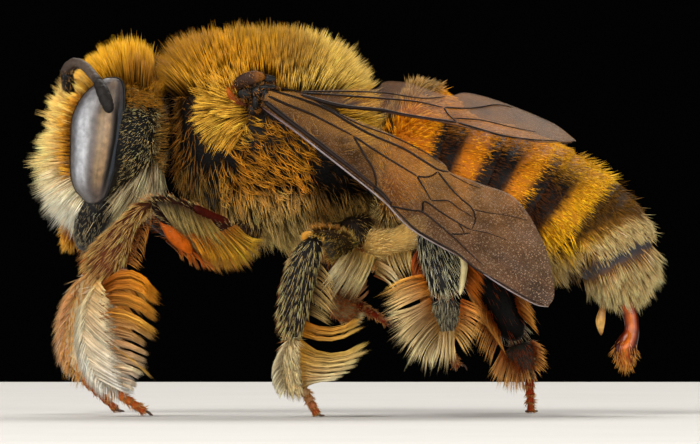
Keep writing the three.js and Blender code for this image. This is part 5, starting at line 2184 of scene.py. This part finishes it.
@dataclass
class Leg:
    """One leg with its shell pieces, foot joints, claws and hair.

    Shapes and fringes are drawn on the left leg of each pair, and carried from its joints to this leg's.
    """

    palette: Palette
    plan: LegPlan
    foot_joints: int = 4
    foot_radius: float = 0.13
    foot_hairs: int = 420
    foot_hair: Hair = Hair((0.1, 0.2), "7c3c14", "d09850", stand=0.5, spread=0.4, width=0.009)
    # along the foot, out from its middle, up
    claw: tuple = ((0.0, 0.03, 0.0), (0.12, 0.1, 0.05), (0.22, 0.16, 0.03), (0.24, 0.18, -0.06))
    claw_radius: float = 0.04
    claw_clear: float = 0.05  # of the floor
    claw_tone: str = "3c2c24"
    left_only: tuple = ("pale_edge", "lower_plate")  # parts that only a left leg shows

    def __post_init__(self) -> None:
        """Finds the left leg that this one is drawn on."""
        model = next(plan for plan in LEGS if plan.pair == self.plan.pair and plan.side is Side.LEFT)
        hip = HIPS[self.plan.pair]
        self.joints = sided((*hip, *self.plan.joints), self.plan.side)
        self.model = sided((*hip, *model.joints), Side.LEFT)

    @staticmethod
    def _axes(joints: Array, k: int, side: Side) -> tuple[Array, float]:
        """The ways along, backward and outward of one leg piece, and its length.

        Args:
            joints: The leg's joints.
            k: The number of the joint that the piece starts from.
            side: The leg's side.

        Returns:
            The three ways, and the length.
        """
        step = joints[k + 1] - joints[k]
        along = unit(step)
        out = np.array([0.0, side.value, 0.0])
        out = unit(out - along * (out @ along))
        return np.stack([along, np.cross(along, out) * side.value, out]), float(np.linalg.norm(step))

    def carry(self, points: Array, piece: str) -> Array:
        """Moves points that are drawn on the left leg to this leg.

        Args:
            points: Stations on the left leg.
            piece: The leg piece that they belong to.

        Returns:
            Stations on this leg.
        """
        k = PIECES.index(piece)
        axes, length = self._axes(self.model, k, Side.LEFT)
        own, own_length = self._axes(self.joints, k, self.plan.side)
        local = (points - self.model[k]) @ axes.T
        local[:, 0] *= own_length / length
        return self.joints[k] + local @ own

    def _spatial(self, flat: Array, piece: str, out: float) -> Array:
        """Gives side stations their distance from the middle plane, and carries them to this leg.

        Args:
            flat: Side stations on the left leg.
            piece: The leg piece that they belong to.
            out: How far out of that piece's middle they lie.

        Returns:
            Stations on this leg.
        """
        k = PIECES.index(piece)
        start, end = self.model[k], self.model[k + 1]
        step = (end - start)[[0, 2]]
        share = np.clip((flat - start[[0, 2]]) @ step / (step @ step), 0, 1)
        y = start[1] + (end[1] - start[1]) * share - out
        return self.carry(np.stack([flat[:, 0], y, flat[:, 1]], axis=1), piece)

    def build(self) -> None:
        """Builds the whole leg."""
        label = self.plan.label
        nodes = [f"{label}_{piece}" for piece in PIECES]
        coat = Coat(f"{label}_hair", "pale_coat", nodes, SEEDS["leg"] + LEGS.index(self.plan))
        for blade in BLADES[self.plan.pair]:
            if blade.name not in self.left_only or self.plan.side is Side.LEFT:
                self._blade(blade, coat)
        self._foot(coat)
        for fringe in FRINGES[self.plan.pair]:
            fringe = replace(fringe, count=int(fringe.count * self.plan.share))
            near, far = fringe.out
            roots = self._spatial(fringe.roots, fringe.piece, near)
            middles = self._spatial(fringe.middles, fringe.piece, (near + far) / 2)
            tips = self._spatial(fringe.tips, fringe.piece, far)
            along = self._axes(self.joints, PIECES.index(fringe.piece), self.plan.side)[0][0]
            for ends in (middles, tips):
                gap = ends - Line(roots).at(np.linspace(0, 1, len(ends)))
                laid = np.linalg.norm(gap, axis=1, keepdims=True) * along * 0.6
                ends += (laid - gap) * (1 - self.plan.reach)
            coat.fringe(fringe, roots, middles, tips, self.plan.wash)
        coat.build(self.palette.coat)

    def _blade(self, blade: Blade, coat: Coat) -> None:
        """Builds one shell piece and grows its short hair.

        Args:
            blade: The shell's shape.
            coat: The coat that its hair belongs to.
        """
        k = PIECES.index(blade.piece)
        along, _, out = self._axes(self.joints, k, self.plan.side)[0]
        form = Form()
        shell = form.sweep(
            28,
            32,
            lambda share, turn: self.carry(blade.place(share, turn), blade.piece),
            graded(tuple(enumerate(blade.tones))),
        )
        node = f"{self.plan.label}_{blade.piece}"
        form.finish(f"{node}_{blade.name}", self.palette.legs, "cuticle", node)
        if blade.hairs:

            def facing_out(s: Spots) -> Array:
                """How much each place faces outward, from 0 to 1."""
                return ramp(-0.25, 0.15, s.normal @ out)

            def dye(s: Spots) -> tuple[Array, Array]:
                """The outer face's colours outside and the inner face's inside."""
                inside, outside = blade.inner, (blade.hair.root, blade.hair.tip)
                return tuple(mix(linear(a), linear(b), facing_out(s)) for a, b in zip(inside, outside))

            coat.grow(
                Ground(shell),
                blade.hair,
                int(blade.hairs * (1 + self.plan.share) / 2),
                lambda s: blade.inner_share + (1 - blade.inner_share) * facing_out(s),
                lambda s: np.tile(along, (len(s.share), 1)),
                dye=dye,
            )

    def _foot(self, coat: Coat) -> None:
        """Builds the small foot joints, their hair and the two claws.

        Args:
            coat: The coat that their hair belongs to.
        """
        start, end = self.joints[4], self.joints[5]
        along = unit(end - start)
        count = self.foot_joints
        tones = tuple(enumerate(self.plan.foot))
        form = Form()
        shells = []
        for k in range(count):
            ends = [start + (end - start) * share for share in ((k - 0.05) / count, (k + 1.03) / count)]
            line = Line([ends[0], (ends[0] + ends[1]) / 2, ends[1]])
            size = self.foot_radius * (1 - 0.07 * k)
            shells.append(
                form.tube(
                    line,
                    lambda s: size * (0.55 + 0.5 * s**0.8),
                    12,
                    12,
                    colour=lambda points, share: shades(tones, np.full(len(points), k / (count - 1))),
                )
            )
        across = unit(np.cross(along, [0.0, 0.0, 1.0]))
        for way in (-1, 1):
            far, wide, up = (np.array(row)[:, None] for row in zip(*self.claw))
            hook = end + along * far + across * way * wide + up * [0, 0, 1]
            hook[:, 2] = np.maximum(hook[:, 2], self.claw_clear)
            colour = graded(((0.0, self.claw_tone),))
            form.tube(Line(hook), lambda s: self.claw_radius * (1 - 0.75 * s), 8, 12, colour=colour)
        form.finish(f"{self.plan.label}_foot", self.palette.legs, "cuticle", f"{self.plan.label}_tarsus")
        lie = np.tile(along, (self.foot_hairs, 1))
        coat.grow(Ground(*shells), self.foot_hair, self.foot_hairs, lie=lambda s: lie)


# ---- Tail ----


@dataclass
class Claspers:
    """The parts that stand out of the tail's pouch: a long hooked one on the left and a short leaf."""

    palette: Palette
    long: tuple = (
        (14.4, -0.34, 3.35), (14.78, -0.42, 3.0), (15.02, -0.45, 2.6), (15.08, -0.45, 2.1),
        (14.92, -0.45, 1.65), (14.95, -0.45, 1.15),
    )
    long_width: tuple = (0.3, 0.24, 0.19, 0.19, 0.28, 0.13)
    leaf: tuple = ((14.45, 0.3, 3.25), (14.38, 0.4, 2.7), (14.32, 0.42, 2.35), (14.34, 0.42, 1.98))
    leaf_width: tuple = (0.1, 0.08, 0.12, 0.03)
    leaf_tones: tuple = ((0.0, "5c2808"), (0.4, "a8702c"), (0.8, "dcac5c"), (1.0, "6c3810"))
    # across the long one, up to this far from its middle
    # the orange middle is a painted highlight; the tones darken towards the edges
    tones: tuple = ((0.0, "b45c0c"), (0.35, "8c3804"), (0.8, "3c0c02"), (1.0, "280602"))
    tone_width: float = 0.2
    hairs: int = 260
    hair: Hair = Hair(
        (0.16, 0.32), "8c4004", "f0b050", (0.1, 0.0, -0.9), 0.4, spread=0.25, width=0.009, tuft=4
    )

    def build(self) -> None:
        """Builds both parts and the hair at the hooked tip."""
        form = Form()
        middle = Line(self.long)

        def across(points: Array, share: Array) -> Array:
            """The long part's colours: a painted highlight in its middle, darker towards its edges."""
            return shades(self.tones, np.abs(points[:, 0] - middle.at(share)[:, 0]) / self.tone_width)

        hook = form.tube(middle, Line(self.long_width).at, 20, 40, flat=0.6, colour=across)
        form.finish("tail_clasper_left", self.palette.horn, "amber_cuticle", "tail_clasper_left")
        form = Form()
        width = Line(self.leaf_width)
        form.tube(Line(self.leaf), width.at, 16, 30, flat=0.45, colour=graded(self.leaf_tones))
        form.finish("tail_clasper_right", self.palette.horn, "amber_cuticle", "tail_clasper_right")
        coat = Coat("tail_clasper_hair", "pale_coat", ["tail_clasper_left"], SEEDS["tail"])
        coat.grow(Ground(hook), self.hair, self.hairs, lambda s: ramp(0.66, 0.85, s.share))
        coat.build(self.palette.coat)


# ---- Studio ----


@dataclass(frozen=True)
class Lamp:
    """One soft box: where it is, its size, power and colour."""

    name: str
    at: Triple  # stations
    size: tuple[float, float]
    power: float
    colour: Colour = (1.0, 1.0, 1.0)


@dataclass
class Studio:
    """The floor, lamps, backdrop tone and camera."""

    look_at: Triple = (8.05, 0.0, 4.825)
    distance: float = 300.0
    field: float = 17.5
    sensor: float = 36.0
    floor_half: tuple[float, float] = (110.0, 85.0)
    floor_y: float = -23.0
    floor_tones: tuple[Colour, Colour] = ((0.50, 0.49, 0.47), (0.56, 0.55, 0.53))
    backdrop: float = 0.0008
    lamps: tuple[Lamp, ...] = (
        Lamp("key", (-60.0, -130.0, 130.0), (100.0, 100.0), 0.36, (1.0, 0.97, 0.93)),
        Lamp("fill", (130.0, -140.0, 60.0), (140.0, 140.0), 0.2, (1.0, 0.98, 0.95)),
        Lamp("rim", (40.0, 110.0, 140.0), (160.0, 80.0), 0.3, (1.0, 0.97, 0.92)),
        Lamp("stripe", (-110.0, -50.0, 20.0), (40.0, 150.0), 0.1),
        Lamp("low", (0.0, -120.0, 12.0), (200.0, 30.0), 0.11, (1.0, 0.97, 0.92)),
    )

    @staticmethod
    def _metres(place: Sequence[float]) -> Vector:
        """Stations as a place in the frame."""
        return Vector((np.array(place) + ORIGIN) * MM)

    def build(self) -> None:
        """Sets everything up."""
        self._floor()
        self._world()
        for lamp in self.lamps:
            self._lamp(lamp)
        self._camera()
        bpy.context.scene.view_settings.view_transform = "Standard"

    def _floor(self) -> None:
        """A plain pale plate with round corners, deeper on the camera's side."""
        disc = bmesh.new()
        bmesh.ops.create_circle(disc, cap_ends=True, segments=128, radius=1.0)
        long, deep = self.floor_half
        for corner in disc.verts:
            x, y = np.sign(corner.co.xy) * np.sqrt(np.abs(corner.co.xy))
            corner.co = Vector((x * long, y * deep + self.floor_y, 0.0)) * MM
        data = bpy.data.meshes.new("floor")
        disc.to_mesh(data)
        disc.free()
        recipe = Recipe("pale_floor")
        noise = recipe.node("TexNoise", Scale=220.0)
        tone = recipe.node("Mix", data_type="RGBA")
        for end, colour in zip("AB", self.floor_tones):
            tone.inputs[end].default_value = (*colour, 1.0)
        recipe.link(
            (recipe.node("TexCoord").outputs["Object"], noise.inputs["Vector"]),
            (noise.outputs["Fac"], tone.inputs["Factor"]),
            (tone.outputs["Result"], recipe.shader.inputs["Base Color"]),
        )
        dial(recipe.shader, Roughness=0.7)
        data.materials.append(recipe.material)
        floor = bpy.data.objects.new("floor", data)
        bpy.context.scene.collection.objects.link(floor)

    def _world(self) -> None:
        """A dark plain backdrop."""
        world = bpy.data.worlds.new("studio")
        world.use_nodes = True
        world.node_tree.nodes["Background"].inputs["Color"].default_value = (self.backdrop,) * 3 + (1.0,)
        bpy.context.scene.world = world

    def _lamp(self, lamp: Lamp) -> None:
        """Hangs one soft box and turns it to the bee.

        Args:
            lamp: The box.
        """
        data = bpy.data.lights.new(lamp.name, "AREA")
        data.shape = "RECTANGLE"
        data.size, data.size_y = (size * MM for size in lamp.size)
        data.energy = lamp.power
        data.color = lamp.colour
        box = bpy.data.objects.new(lamp.name, data)
        bpy.context.scene.collection.objects.link(box)
        box.location = self._metres(lamp.at)
        box.rotation_euler = (self._metres(self.look_at) - box.location).to_track_quat("-Z", "Y").to_euler()

    def _camera(self) -> None:
        """A long lens square to the bee's left side."""
        data = bpy.data.cameras.new("camera")
        data.sensor_width = self.sensor
        data.lens = self.sensor * self.distance / self.field
        data.clip_start = 0.01
        data.clip_end = 3.0
        camera = bpy.data.objects.new("camera", data)
        bpy.context.scene.collection.objects.link(camera)
        camera.location = self._metres(self.look_at) - Vector((0.0, self.distance * MM, 0.0))
        camera.rotation_euler = (np.pi / 2, 0.0, 0.0)
        bpy.context.scene.camera = camera


def main() -> None:
    """Builds the bee and its studio."""
    logging.basicConfig(level=logging.INFO, format="%(name)s: %(message)s")
    palette = Palette.mixed()
    Body(palette).build()
    for side in Side:
        Eye(palette, side).build()
        Feeler(palette, side).build()
        WingCap(palette, side).build()
        for plan in (FOREWING, HINDWING):
            Wing(palette, plan, side).build()
    Ocelli(palette).build()
    Mouth(palette).build()
    for plan in LEGS:
        Leg(palette, plan).build()
    Claspers(palette).build()
    Studio().build()


if __name__ == "__main__":
    main()
